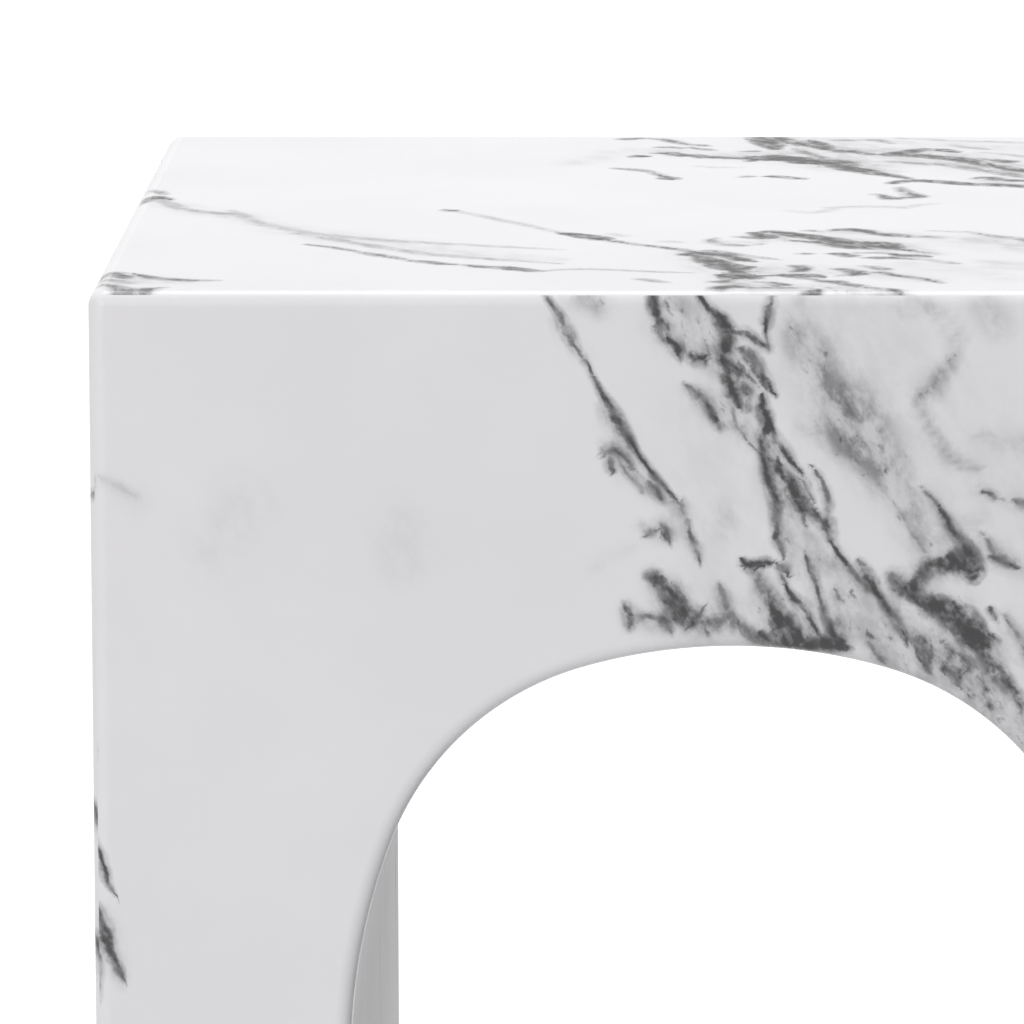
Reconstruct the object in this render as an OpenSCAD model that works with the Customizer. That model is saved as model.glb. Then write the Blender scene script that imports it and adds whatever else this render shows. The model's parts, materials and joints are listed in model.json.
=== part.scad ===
// Square accent table: a hollow box of mitred boards with an arch cut through it from front to back.
// All sizes are in millimetres. X runs to the right, Y to the back and Z up. The origin lies on the
// floor under the middle of the table, and the front face looks along -Y.

/* [Table] */
// Width of the table, side to side
table_w = 450; // [400:5:520]
// Depth of the table, front to back
table_d = 450; // [380:5:520]
// Height of the table top above the floor
table_h = 500; // [460:5:600]
// Radius that the outer arrises and the edge of the arch are rounded to
arris_r = 6; // [3:0.5:8]

/* [Arch] */
// Width of each leg beside the arch, on the front face
leg_w = 90; // [84:1:100]
// Depth of the crown of the arch below the table top
crown_depth = 126; // [110:1:140]
// Height of the curved part of the arch, from the springing to the crown
arch_rise = 150; // [140:1:160]
// Radius of the haunches, where the arch turns fastest
haunch_r = 102.5; // [94:0.5:106]

/* [Shell boards] */
// Thickness of the boards of the outer shell
panel_t = 15; // [14:0.5:18]
// Thickness of the bent board and the walls that line the arch
lining_t = 9; // [8:0.5:10]
// Depth that the lining is let into the front and back panels
rebate_depth = 5; // [3:0.5:6]
// Thickness of the plates that close the legs underneath
base_t = 15; // [15:1:18]
// Slack of each glued joint, on each side
glue_gap = 0.2; // [0.1:0.05:0.3]

/* [Tongues and splines] */
// Thickness of the tongue that joins the soffit to an inner wall
tongue_t = 3; // [2.5:0.5:3.5]
// Height of that tongue
tongue_h = 4; // [3:0.5:6]
// Thickness of the splines across the mitres
spline_t = 4; // [3:0.5:4.5]
// Width of the splines across the mitres
spline_w = 9; // [7:0.5:10]
// Depth of the splines' middle below the inner face of a panel
spline_in = 6; // [5.5:0.5:6.5]
// Distance that a spline stops short of the shell's corners
spline_short = 30; // [25:1:50]

/* [Frame inside] */
// Width and height of the cleats under the top
cleat_w = 20; // [18:1:24]
// Width of the corner posts
post_w = 25; // [22:1:26]
// Width of the battens beside the arch
batten_w = 20; // [18:1:22]
// Thickness of the two ribs
rib_t = 12; // [9:1:15]
// Distance between the middles of the two ribs
rib_pitch = 140; // [110:5:170]
// Depth that a rib is housed in the sides and in the top
dado_depth = 4; // [3:0.5:5]

/* [Feet] */
// Radius of a nylon glide
glide_r = 15; // [12:0.5:16]
// Height of a nylon glide
glide_h = 4; // [3.5:0.5:6]
// Radius of a felt pad
pad_r = 12; // [9:0.5:12]
// Thickness of a felt pad
pad_t = 3; // [2.5:0.5:4]
// Depth that a felt pad is let into its glide
pad_seat = 1; // [0.5:0.5:1]
// Distance of the feet from the front and back faces
foot_inset = 45; // [45:1:60]

/* [Screws] */
// Radius of the shank of the cleat and base screws
screw_r = 2; // [1.5:0.25:2.5]
// Radius of the shank of the glide screws
glide_screw_r = 1.75; // [1.25:0.25:2]
// Length of the screws that hold the top to its cleats
cleat_screw_l = 30; // [26:1:31]
// Length of the screws that hold the base plates to the posts and battens
base_screw_l = 40; // [30:1:50]
// Length of the screws that hold the glides
glide_screw_l = 14; // [10:1:15]
// Slack between a screw and its hole, on the radius
screw_slack = 0.1; // [0.05:0.05:0.2]
// Distance of the outer cleat screws from the end of their cleat
screw_inset = 45; // [38:1:60]

/* [Hidden] */
$fn = 96;
// Length that a cutting shape runs past what it cuts
over = 1;
// Turn of the balls in the corners, which puts their poles and seams inside the box
ball_turn = [atan2(4, 3), atan2(3, 4), atan2(3, 4)];
// Directions in X and Z, one long, in which the crown arc gives way to the haunch, and the haunch to
// the jamb: about 16 and 69 degrees from the vertical
crown_end = [0.28, 0.96];
haunch_end = [0.936, 0.352];
// Steps of the crown's and the jambs' radii that put every centre on whole thousandths of a
// millimetre, so that the arcs meet exactly
crown_step = 0.025;
jamb_step = 0.125;
// Length past the whole table
far = 1000;

half_w = table_w / 2;
half_d = table_d / 2;
body_z = glide_h + pad_t - pad_seat;
in_x = half_w - panel_t;
in_y = half_d - panel_t;
in_z = table_h - panel_t;
base_top = body_z + base_t;
lining_y = in_y + rebate_depth;

// Width of the lip round the arch, from the opening to past the rebate and the rounding
lip_w = max(lining_t + glue_gap, arris_r) + rebate_depth;
crown_z = table_h - crown_depth;

// The five-centred arch: its half width and rise are each a sum of what its three arcs add to them,
// and an arc adds its radius times its share. So the haunches settle the crown arc and the jamb arcs.
arch_size = [half_w - leg_w, arch_rise];
crown_share = [crown_end[0], 1 - crown_end[1]];
haunch_share = [haunch_end[0] - crown_end[0], crown_end[1] - haunch_end[1]];
jamb_share = [1 - haunch_end[0], haunch_end[1]];

// In a narrow or low arch the haunches are no larger than the crown arc or the jamb arcs beside them.
haunch_fit = min(solve_first(crown_share + haunch_share, jamb_share, arch_size),
    solve_first(haunch_share + jamb_share, crown_share, arch_size));
haunch_radius = min(haunch_r, jamb_step * floor(haunch_fit / jamb_step));
arch_rest = arch_size - haunch_radius * haunch_share;
crown_r = haunch_radius
    + in_steps(crown_step, solve_first(crown_share, jamb_share, arch_rest) - haunch_radius);
jamb_r = haunch_radius
    + in_steps(jamb_step, solve_first(jamb_share, crown_share, arch_rest) - haunch_radius);
crown_c = [0, crown_z - crown_r];
haunch_c = crown_c + (crown_r - haunch_radius) * crown_end;
jamb_c = haunch_c - (jamb_r - haunch_radius) * haunch_end;

// Half width and springing of the arch as its arcs draw it, within 0.03 mm of what is asked for
span = jamb_c[0] + jamb_r;
spring_z = jamb_c[1];

// Each arc of the right-hand half: its centre, its radius and the two directions that it runs between
CROWN_ARC = [crown_c, crown_r, [0, 1], crown_end];
HAUNCH_ARC = [haunch_c, haunch_radius, crown_end, haunch_end];
JAMB_ARC = [jamb_c, jamb_r, haunch_end, [1, 0]];
ARCS = [CROWN_ARC, HAUNCH_ARC, JAMB_ARC];

glide_x = half_w - leg_w / 2;
glide_y = half_d - foot_inset;
batten_x = span + lining_t + batten_w / 2;
post_x = in_x - post_w / 2;

MARBLE = "whitesmoke";
PLYWOOD = "burlywood";
FIBREBOARD = "tan";
PINE = "wheat";
NYLON = "dimgray";
FELT = "gray";
STEEL = "silver";

// A length rounded to whole steps
function in_steps(step, length) = step * round(length / step);

// The factor of first in the sum of two shares, each times its factor, that makes up total
function solve_first(first, second, total) =
    (total[0] * second[1] - total[1] * second[0]) / (first[0] * second[1] - first[1] * second[0]);

// Places of the screws along a cleat of half-length half
function cleat_stops(half) = [screw_inset - half, 0, half - screw_inset];

// Draws its children, made for the front left corner, in any corner
module corner(right, back) {
    mirror([right, 0, 0]) mirror([0, back, 0]) children();
}

module four_corners() {
    for (right = [0, 1], back = [0, 1]) {
        corner(right, back) children();
    }
}

// Stretches an outline in X and Z from y = from to y = to
module along_y(from, to) {
    translate([0, to, 0]) rotate([90, 0, 0]) linear_extrude(to - from) children();
}

// Stretches an outline in Y and Z from x = from to x = to
module along_x(from, to) {
    translate([from, 0, 0]) rotate([90, 0, 90]) linear_extrude(to - from) children();
}

// Stretches an outline in X and Y from z = from to z = to
module along_z(from, to) {
    translate([0, 0, from]) linear_extrude(to - from) children();
}

// A box between two opposite corners
module block(low, high) {
    translate(low) cube(high - low);
}

// Quarter of a disc that fills the corner towards -X and +Y of its centre
module quarter_disc() {
    intersection() {
        circle(arris_r);
        translate([-arris_r - over, 0]) square(arris_r + over);
    }
}

// Eighth of a ball that fills the corner towards -X, -Y and +Z of its centre
module ball_corner() {
    reach = arris_r + over;
    intersection() {
        rotate(ball_turn) sphere(arris_r);
        block([-reach, -reach, 0], [0, 0, reach]);
    }
}

// The whole outside of the table: round arrises everywhere but underneath
module shell_block() {
    flat_x = half_w - arris_r;
    flat_y = half_d - arris_r;
    flat_z = table_h - arris_r;
    block([-half_w, -flat_y, body_z], [half_w, flat_y, flat_z]);
    block([-flat_x, -flat_y, flat_z], [flat_x, flat_y, table_h]);
    for (back = [0, 1]) {
        mirror([0, back, 0]) {
            block([-flat_x, -half_d, body_z], [flat_x, -flat_y, flat_z]);
            along_x(-flat_x, flat_x) translate([-flat_y, flat_z]) quarter_disc();
        }
    }
    for (right = [0, 1]) {
        mirror([right, 0, 0]) along_y(-flat_y, flat_y) translate([-flat_x, flat_z]) quarter_disc();
    }
    four_corners() translate([-flat_x, -flat_y, 0]) {
        along_z(body_z, flat_z) mirror([0, 1]) quarter_disc();
        translate([0, 0, flat_z]) ball_corner();
    }
}

// Section of a board between two mitres: it lies on the line y = -face and narrows inwards
module mitred_section(face, reach) {
    polygon([[-reach, -face], [reach, -face], [reach - panel_t, panel_t - face],
        [panel_t - reach, panel_t - face]]);
}

// Section of an upright board: square at the bottom and mitred at the top
module upright_section(face) {
    polygon([[-face, body_z], [-face, table_h], [panel_t - face, in_z], [panel_t - face, body_z]]);
}

// The wedge that an arc of the arch lies in, from its centre outwards, right of the middle of the table
module arc_wedge(arc) {
    intersection() {
        translate(arc[0]) polygon([[0, 0], far * arc[2], far * arc[3]]);
        square(far);
    }
}

// The arch opening in X and Z, grown outwards: a rectangle from below the table to the springing, and
// over it a slice of a disc for each arc, which meet side by side
module arch_outline(grow) {
    foot = body_z - over;
    translate([-span - grow, foot]) square([2 * (span + grow), spring_z - foot]);
    for (left = [0, 1], arc = ARCS) {
        mirror([left, 0]) intersection() {
            translate(arc[0]) circle(arc[1] + grow);
            arc_wedge(arc);
        }
    }
}

// Section of the arch panel beside the opening: X runs into the board from the opening's edge, and Y
// back from the front face. The front corner is round, and the lining's rebate is behind it.
module lip_section() {
    intersection() {
        translate([arris_r, arris_r]) circle(arris_r);
        translate([-over, -over]) square(arris_r + over);
    }
    translate([arris_r, 0]) square([lip_w - arris_r, arris_r]);
    translate([0, arris_r]) square([lip_w, panel_t - rebate_depth - arris_r]);
    translate([lining_t + glue_gap, arris_r]) square([lip_w - lining_t - glue_gap, panel_t - arris_r]);
}

// The lip round the arch in the front panel: a straight stretch on each jamb and one for each arc
module arch_lip() {
    for (left = [0, 1]) {
        mirror([left, 0, 0]) {
            translate([span, -half_d, body_z]) linear_extrude(spring_z - body_z) lip_section();
            for (arc = ARCS) {
                intersection() {
                    translate([arc[0][0], -half_d, arc[0][1]]) rotate([-90, 0, 0]) rotate(180)
                        rotate_extrude() translate([arc[1], 0]) lip_section();
                    along_y(-half_d - over, -in_y + over) arc_wedge(arc);
                }
            }
        }
    }
}

// Upright spline in the front left mitre, or the groove for it
module upright_spline(slack) {
    middle = [-in_x - spline_in, -in_y - spline_in];
    along_z(body_z + spline_short - slack, in_z - spline_short + slack)
        translate(middle) rotate(-45) square([spline_w, spline_t] + 2 * [slack, slack], center = true);
}

// Spline in the mitre between the front and the top, or the groove for it
module front_edge_spline(slack) {
    reach = half_w - spline_short + slack;
    along_x(-reach, reach) translate([-in_y - spline_in, in_z + spline_in]) rotate(45)
        square([spline_w, spline_t] + 2 * [slack, slack], center = true);
}

// Spline in the mitre between the left side and the top, or the groove for it
module side_edge_spline(slack) {
    reach = half_d - spline_short + slack;
    along_y(-reach, reach) translate([-in_x - spline_in, in_z + spline_in]) rotate(45)
        square([spline_w, spline_t] + 2 * [slack, slack], center = true);
}

// Every groove for a spline, in the front left quarter and its mirrors
module spline_grooves() {
    four_corners() upright_spline(glue_gap);
    for (back = [0, 1]) mirror([0, back, 0]) front_edge_spline(glue_gap);
    for (right = [0, 1]) mirror([right, 0, 0]) side_edge_spline(glue_gap);
}

// The bands of the inside that the ribs stand in, grown by slack
module rib_bands(slack) {
    for (back = [0, 1]) {
        mirror([0, back, 0]) block([-half_w, -rib_pitch / 2 - rib_t / 2 - slack, base_top - slack],
            [half_w, -rib_pitch / 2 + rib_t / 2 + slack, table_h]);
    }
}

// Outline of a rib's tongues: the inside of the shell grown into its walls, less the top corners
module rib_outline(slack) {
    wide = in_x + dado_depth + slack;
    narrow = in_x - cleat_w;
    translate([-wide, base_top - slack]) square([2 * wide, in_z - cleat_w - base_top + slack]);
    translate([-narrow, in_z - cleat_w - over])
        square([2 * narrow, cleat_w + over + dado_depth + slack]);
}

// Every dado that houses the ribs
module rib_dados() {
    intersection() {
        rib_bands(glue_gap);
        along_y(-half_d, half_d) rib_outline(glue_gap);
    }
}

// Countersunk screw standing on its point, with its head's face at the origin
module screw(r, length, slack) {
    head = 2 * r;
    tip = r / 4;
    translate([0, 0, -slack]) cylinder(r1 = head + slack, r2 = r + slack, h = head - r + slack);
    cylinder(r = r + slack, h = length - r + slack);
    translate([0, 0, length - r + slack]) cylinder(r1 = r + slack, r2 = tip, h = r);
}

// Screws up through the cleats into the top, grown by slack
module cleat_screw_set(slack) {
    z = in_z - cleat_w;
    for (x = cleat_stops(in_x), back = [-1, 1]) {
        translate([x, back * (in_y - cleat_w / 2), z]) screw(screw_r, cleat_screw_l, slack);
    }
    for (y = cleat_stops(in_y - cleat_w), side = [-1, 1]) {
        translate([side * (in_x - cleat_w / 2), y, z]) screw(screw_r, cleat_screw_l, slack);
    }
}

// Screws up through the base plates into the posts and battens, grown by slack
module base_screw_set(slack) {
    four_corners() {
        translate([-post_x, post_w / 2 - in_y, body_z]) screw(screw_r, base_screw_l, slack);
        translate([-batten_x, batten_w / 2 - in_y, body_z]) screw(screw_r, base_screw_l, slack);
    }
}

// Screws up through the glides into the base plates, grown by slack
module glide_screw_set(slack) {
    four_corners() translate([-glide_x, -glide_y, pad_t]) screw(glide_screw_r, glide_screw_l, slack);
}

// Front panel with the arch: the back panel is its mirror image
module arch_panel() {
    difference() {
        intersection() {
            shell_block();
            along_z(body_z, table_h) mitred_section(half_d, half_w);
            along_x(-half_w, half_w) upright_section(half_d);
        }
        along_y(-half_d - over, -in_y + over) arch_outline(lip_w);
        spline_grooves();
    }
    arch_lip();
}

// Left side panel: the right one is its mirror image
module side_panel() {
    difference() {
        intersection() {
            shell_block();
            along_z(body_z, table_h) rotate(-90) mitred_section(half_w, half_d);
            along_y(-half_d, half_d) upright_section(half_w);
        }
        rib_dados();
        spline_grooves();
    }
}

// Wall of the left leg towards the arch, grooved on top for the soffit's tongue
module inner_wall() {
    middle = span + lining_t / 2;
    groove = tongue_t / 2 + glue_gap;
    difference() {
        block([-span - lining_t, -lining_y, body_z], [-span, lining_y, spring_z]);
        block([-middle - groove, -lining_y - over, spring_z - tongue_h - glue_gap],
            [-middle + groove, lining_y + over, spring_z + over]);
    }
}

// Front rib: a plywood frame that stands round the lining and is housed in the sides and the top
module rib() {
    y = -rib_pitch / 2;
    along_y(y - rib_t / 2, y + rib_t / 2) difference() {
        rib_outline(0);
        arch_outline(lining_t + glue_gap);
    }
}

// Plate that closes the left leg underneath
module base_plate() {
    difference() {
        block([-in_x, -in_y, body_z], [-span - lining_t, in_y, base_top]);
        base_screw_set(screw_slack);
        glide_screw_set(screw_slack);
    }
}

module post() {
    difference() {
        block([-in_x, -in_y, base_top], [post_w - in_x, post_w - in_y, in_z - cleat_w]);
        base_screw_set(screw_slack);
    }
}

module batten() {
    side = span + lining_t;
    difference() {
        block([-side - batten_w, -in_y, base_top], [-side, batten_w - in_y, spring_z]);
        base_screw_set(screw_slack);
    }
}

// Cleat along the front, from side to side
module front_cleat() {
    difference() {
        block([-in_x, -in_y, in_z - cleat_w], [in_x, cleat_w - in_y, in_z]);
        cleat_screw_set(screw_slack);
    }
}

// Cleat along the left side, between the front and rear cleats
module side_cleat() {
    reach = in_y - cleat_w;
    difference() {
        block([-in_x, -reach, in_z - cleat_w], [cleat_w - in_x, reach, in_z]);
        cleat_screw_set(screw_slack);
    }
}

module glide() {
    difference() {
        translate([-glide_x, -glide_y, body_z - glide_h]) cylinder(r = glide_r, h = glide_h);
        translate([-glide_x, -glide_y, -over]) cylinder(r = pad_r + glue_gap, h = pad_t + over);
        glide_screw_set(screw_slack);
    }
}

module pad() {
    translate([-glide_x, -glide_y, 0]) cylinder(r = pad_r, h = pad_t);
}

module top_panel() {
    color(MARBLE) difference() {
        intersection() {
            shell_block();
            along_x(-half_w, half_w) mirror([0, 1]) mitred_section(table_h, half_d);
            along_y(-half_d, half_d) mirror([0, 1]) mitred_section(table_h, half_w);
        }
        rib_dados();
        spline_grooves();
        cleat_screw_set(screw_slack);
    }
}

module front_arch_panel() {
    color(MARBLE) arch_panel();
}

module back_arch_panel() {
    color(MARBLE) mirror([0, 1, 0]) arch_panel();
}

module left_side_panel() {
    color(MARBLE) side_panel();
}

module right_side_panel() {
    color(MARBLE) mirror([1, 0, 0]) side_panel();
}

module arch_soffit() {
    middle = span + lining_t / 2;
    color(MARBLE) {
        along_y(-lining_y, lining_y) intersection() {
            difference() {
                arch_outline(lining_t);
                arch_outline(0);
            }
            translate([-in_x, spring_z]) square([2 * in_x, in_z - spring_z]);
        }
        for (side = [-middle, middle]) {
            block([side - tongue_t / 2, -lining_y, spring_z - tongue_h],
                [side + tongue_t / 2, lining_y, spring_z + over]);
        }
    }
}

module left_inner_wall() {
    color(MARBLE) inner_wall();
}

module right_inner_wall() {
    color(MARBLE) mirror([1, 0, 0]) inner_wall();
}

module front_rib() {
    color(PLYWOOD) rib();
}

module rear_rib() {
    color(PLYWOOD) mirror([0, 1, 0]) rib();
}

module left_base_plate() {
    color(FIBREBOARD) base_plate();
}

module right_base_plate() {
    color(FIBREBOARD) mirror([1, 0, 0]) base_plate();
}

module front_top_cleat() {
    color(PINE) front_cleat();
}

module rear_top_cleat() {
    color(PINE) mirror([0, 1, 0]) front_cleat();
}

module left_top_cleat() {
    color(PINE) side_cleat();
}

module right_top_cleat() {
    color(PINE) mirror([1, 0, 0]) side_cleat();
}

// The posts, battens, upright splines, glides and pads stand in each of the four corners
module corner_post(right, back) {
    color(PINE) corner(right, back) post();
}

module arch_batten(right, back) {
    color(PINE) corner(right, back) batten();
}

module corner_spline(right, back) {
    color(PLYWOOD) corner(right, back) upright_spline(0);
}

module corner_glide(right, back) {
    color(NYLON) corner(right, back) glide();
}

module corner_pad(right, back) {
    color(FELT) corner(right, back) pad();
}

module front_top_spline() {
    color(PLYWOOD) front_edge_spline(0);
}

module rear_top_spline() {
    color(PLYWOOD) mirror([0, 1, 0]) front_edge_spline(0);
}

module left_top_spline() {
    color(PLYWOOD) side_edge_spline(0);
}

module right_top_spline() {
    color(PLYWOOD) mirror([1, 0, 0]) side_edge_spline(0);
}

module cleat_screws() {
    color(STEEL) cleat_screw_set(0);
}

module base_screws() {
    color(STEEL) base_screw_set(0);
}

module glide_screws() {
    color(STEEL) glide_screw_set(0);
}

top_panel();
front_arch_panel();
back_arch_panel();
left_side_panel();
right_side_panel();
arch_soffit();
left_inner_wall();
right_inner_wall();
front_rib();
rear_rib();
left_base_plate();
right_base_plate();
front_top_cleat();
rear_top_cleat();
left_top_cleat();
right_top_cleat();
corner_post(0, 0);  // front_left_post
corner_post(1, 0);  // front_right_post
corner_post(0, 1);  // rear_left_post
corner_post(1, 1);  // rear_right_post
arch_batten(0, 0);  // front_left_batten
arch_batten(1, 0);  // front_right_batten
arch_batten(0, 1);  // rear_left_batten
arch_batten(1, 1);  // rear_right_batten
corner_spline(0, 0);  // front_left_spline
corner_spline(1, 0);  // front_right_spline
corner_spline(0, 1);  // rear_left_spline
corner_spline(1, 1);  // rear_right_spline
front_top_spline();
rear_top_spline();
left_top_spline();
right_top_spline();
corner_glide(0, 0);  // front_left_glide
corner_glide(1, 0);  // front_right_glide
corner_glide(0, 1);  // rear_left_glide
corner_glide(1, 1);  // rear_right_glide
corner_pad(0, 0);  // front_left_pad
corner_pad(1, 0);  // front_right_pad
corner_pad(0, 1);  // rear_left_pad
corner_pad(1, 1);  // rear_right_pad
cleat_screws();
base_screws();
glide_screws();
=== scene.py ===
# %% [markdown]
# This lesson dresses a square accent table: a block with rounded arrises, cut from front to back by a
# tall arch, in a white marble finish with grey veins. The real table is a box of fibreboard panels,
# mitred along every arris and covered with a satin film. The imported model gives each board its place,
# and the lesson makes the boards that show as finer surfaces, and gives every piece its finish.

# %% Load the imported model
import json
import math
import bpy
import numpy as np
from mathutils import Matrix, Vector

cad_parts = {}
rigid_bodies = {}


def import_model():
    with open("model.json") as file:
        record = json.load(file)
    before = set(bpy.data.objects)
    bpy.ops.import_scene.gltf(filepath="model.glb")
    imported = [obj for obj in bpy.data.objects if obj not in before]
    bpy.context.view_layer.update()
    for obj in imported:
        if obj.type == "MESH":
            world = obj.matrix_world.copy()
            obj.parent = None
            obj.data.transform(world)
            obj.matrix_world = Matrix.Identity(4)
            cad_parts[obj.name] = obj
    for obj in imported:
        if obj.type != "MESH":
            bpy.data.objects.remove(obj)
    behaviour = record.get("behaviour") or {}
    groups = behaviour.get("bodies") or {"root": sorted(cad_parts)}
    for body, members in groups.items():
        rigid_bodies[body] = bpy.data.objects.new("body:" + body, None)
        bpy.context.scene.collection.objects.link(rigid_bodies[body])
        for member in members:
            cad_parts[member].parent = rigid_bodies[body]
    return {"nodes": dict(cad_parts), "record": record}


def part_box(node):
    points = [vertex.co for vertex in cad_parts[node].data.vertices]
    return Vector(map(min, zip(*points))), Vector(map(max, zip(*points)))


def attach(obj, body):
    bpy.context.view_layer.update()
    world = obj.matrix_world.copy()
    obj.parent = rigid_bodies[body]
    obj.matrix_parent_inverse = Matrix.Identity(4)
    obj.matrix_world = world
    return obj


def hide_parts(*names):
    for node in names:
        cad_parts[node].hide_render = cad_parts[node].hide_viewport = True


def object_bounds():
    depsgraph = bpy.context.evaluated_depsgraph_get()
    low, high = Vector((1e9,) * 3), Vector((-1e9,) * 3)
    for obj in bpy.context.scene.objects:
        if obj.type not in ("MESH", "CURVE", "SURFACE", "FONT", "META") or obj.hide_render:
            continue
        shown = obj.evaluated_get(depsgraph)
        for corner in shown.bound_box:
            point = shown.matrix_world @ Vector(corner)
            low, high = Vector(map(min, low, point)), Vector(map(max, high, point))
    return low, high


for spare in list(bpy.data.objects):
    bpy.data.objects.remove(spare)
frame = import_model()
cad_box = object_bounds()
print("nodes loaded:", len(frame["nodes"]))

# %% [markdown]
# The photograph was taken from a little above, with a long lens, and shows the upper left part of the
# table. A camera could be placed by eye, but here its place and its three turns were worked out from
# corners of the table that can be read in the picture, so the arrises fall where they do there.

# %% Set the camera
MM = 0.001
CAMERA_AT = Vector((2.5, -3310.2, 927.2)) * MM
PITCH_DOWN = math.radians(9.2914)
YAW_LEFT = math.radians(1.4855)
ROLL = math.radians(0.1671)
LENS_MM, SENSOR_MM = 315.63, 36
SEES_AS_FAR_AS = 100


def camera_axes(pitch, yaw, roll):
    """The look direction goes down by pitch and to the left by yaw; right and up are turned by roll."""
    look = Vector((-math.sin(yaw) * math.cos(pitch), math.cos(yaw) * math.cos(pitch), -math.sin(pitch)))
    level = Vector((math.cos(yaw), math.sin(yaw), 0))
    upright = level.cross(look)
    right = math.cos(roll) * level - math.sin(roll) * upright
    up = math.sin(roll) * level + math.cos(roll) * upright
    return Matrix((right, up, -look)).transposed()


lens = bpy.data.cameras.new("camera")
lens.lens, lens.sensor_width, lens.clip_end = LENS_MM, SENSOR_MM, SEES_AS_FAR_AS
camera = bpy.data.objects.new("camera", lens)
bpy.context.scene.collection.objects.link(camera)
camera.matrix_world = Matrix.Translation(CAMERA_AT) @ camera_axes(PITCH_DOWN, YAW_LEFT, ROLL).to_4x4()
bpy.context.scene.camera = camera
print("camera at", tuple(round(c, 3) for c in camera.location))

# %% [markdown]
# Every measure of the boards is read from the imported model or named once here. The arch has no single
# radius: a flat crown, two tighter haunches and two long jambs meet without a corner, and straight
# sides run down from the springing. So the opening is a path of arcs, and every surface round it is
# worked out from the path's points and the directions square to it. An arc is named by its centre's
# place across, its centre's height and its radius, and by the angle at which it begins.

# %% Name the measures
high = cad_box[1]
HALF = float(high[0])
TOP = float(high[2])
FOOT = float(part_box("front_arch_panel")[0][2])
ARRIS = 6 * MM
BOARD = 15 * MM
REBATE_AT = 10 * MM
REBATE_EDGE = 9.2 * MM
LINING = 9 * MM
SPRING = 224 * MM
SPAN = 135 * MM
CROWN = (0, 184 * MM, 190 * MM)
HAUNCH = (24.5 * MM, 268 * MM, 102.5 * MM)
JAMB = (-92.5 * MM, 224 * MM, 227.5 * MM)
HAUNCH_FROM = math.atan2(0.352, 0.936)
CROWN_FROM = math.atan2(0.96, 0.28)
print("half width", HALF, "height", TOP, "foot", FOOT)

# %% Work out the arch's path
FEWEST_STEPS = 6


def arch_half(cell):
    """The right half of the opening, from the foot to the crown: a straight line up to the springing,
    then three arcs, each centre plus radius times (cos, sin) of the angle. Gives points and the unit
    directions that point out of the opening."""
    rises = np.linspace(FOOT, SPRING, 1 + round((SPRING - FOOT) / cell))[:-1]
    points = [np.stack([np.full_like(rises, SPAN), rises], 1)]
    aways = [np.tile([1.0, 0.0], (len(rises), 1))]
    for (cx, cz, radius), start, end in ((JAMB, 0, HAUNCH_FROM), (HAUNCH, HAUNCH_FROM, CROWN_FROM),
                                         (CROWN, CROWN_FROM, math.pi / 2)):
        angles = np.linspace(start, end, 1 + max(FEWEST_STEPS, round(radius * (end - start) / cell)))
        if end < math.pi / 2:
            angles = angles[:-1]
        away = np.stack([np.cos(angles), np.sin(angles)], 1)
        points.append(np.array([cx, cz]) + radius * away)
        aways.append(away)
    return np.concatenate(points), np.concatenate(aways)


def arch_path(cell):
    """Both halves in one path, from the left foot over the crown to the right foot."""
    points, away = arch_half(cell)
    flip = np.array([-1.0, 1.0])
    return np.concatenate([points * flip, points[-2::-1]]), np.concatenate([away * flip, away[-2::-1]])


PATH_CELL = 1.7 * MM
PATH, AWAY = arch_path(PATH_CELL)
print("points along the arch:", len(PATH))

# %% [markdown]
# A board is built from patches, each a grid of points with the true direction of the surface at each
# point. Laying such grids side by side leaves double points along their edges, so the points are
# joined where they coincide. The true directions are kept as the mesh's own normals, which makes a
# rounded arris shade evenly and run into the flat without a dark or bright seam. Smooth shading alone
# would guess the normals from the faces, and shade the flat beside an arris as if it were bent.

# %% Join patches into a mesh
SAME = 1e-7


def patch(points, normals):
    """Spreads the normals over the grid of points, so both are arrays of rows, columns and xyz."""
    points = np.asarray(points, float)
    return points, np.broadcast_to(np.asarray(normals, float), points.shape)


def grid_faces(rows, columns):
    """Each face is one cell of the grid: its four corners, counted along the columns first."""
    corner = np.arange(rows * columns).reshape(rows, columns)
    return np.stack([corner[:-1, :-1], corner[:-1, 1:], corner[1:, 1:], corner[1:, :-1]], -1).reshape(-1, 4)


def stacked(patches, caps):
    """All points with their normals, the faces of the patches and the rings of the caps, in one list
    each. A face that looks against its normals is turned over: then the cross product of its diagonals
    and the sum of its normals have a product below 0."""
    points, normals, faces, rings, start = [], [], [], [], 0
    for grid, directions in patches:
        rows, columns = grid.shape[:2]
        points.append(grid.reshape(-1, 3))
        normals.append(directions.reshape(-1, 3))
        faces.append(grid_faces(rows, columns) + start)
        start += rows * columns
    for ring, direction in caps:
        points.append(np.asarray(ring, float))
        normals.append(np.tile(direction, (len(ring), 1)))
        rings.append(np.arange(len(ring)) + start)
        start += len(ring)
    points, normals, faces = np.concatenate(points), np.concatenate(normals), np.concatenate(faces)
    corners = points[faces]
    turned = np.einsum("ij,ij->i", np.cross(corners[:, 2] - corners[:, 0], corners[:, 3] - corners[:, 1]),
                       normals[faces].sum(1)) < 0
    faces[turned] = faces[turned, ::-1]
    return points, normals, faces, rings


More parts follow.
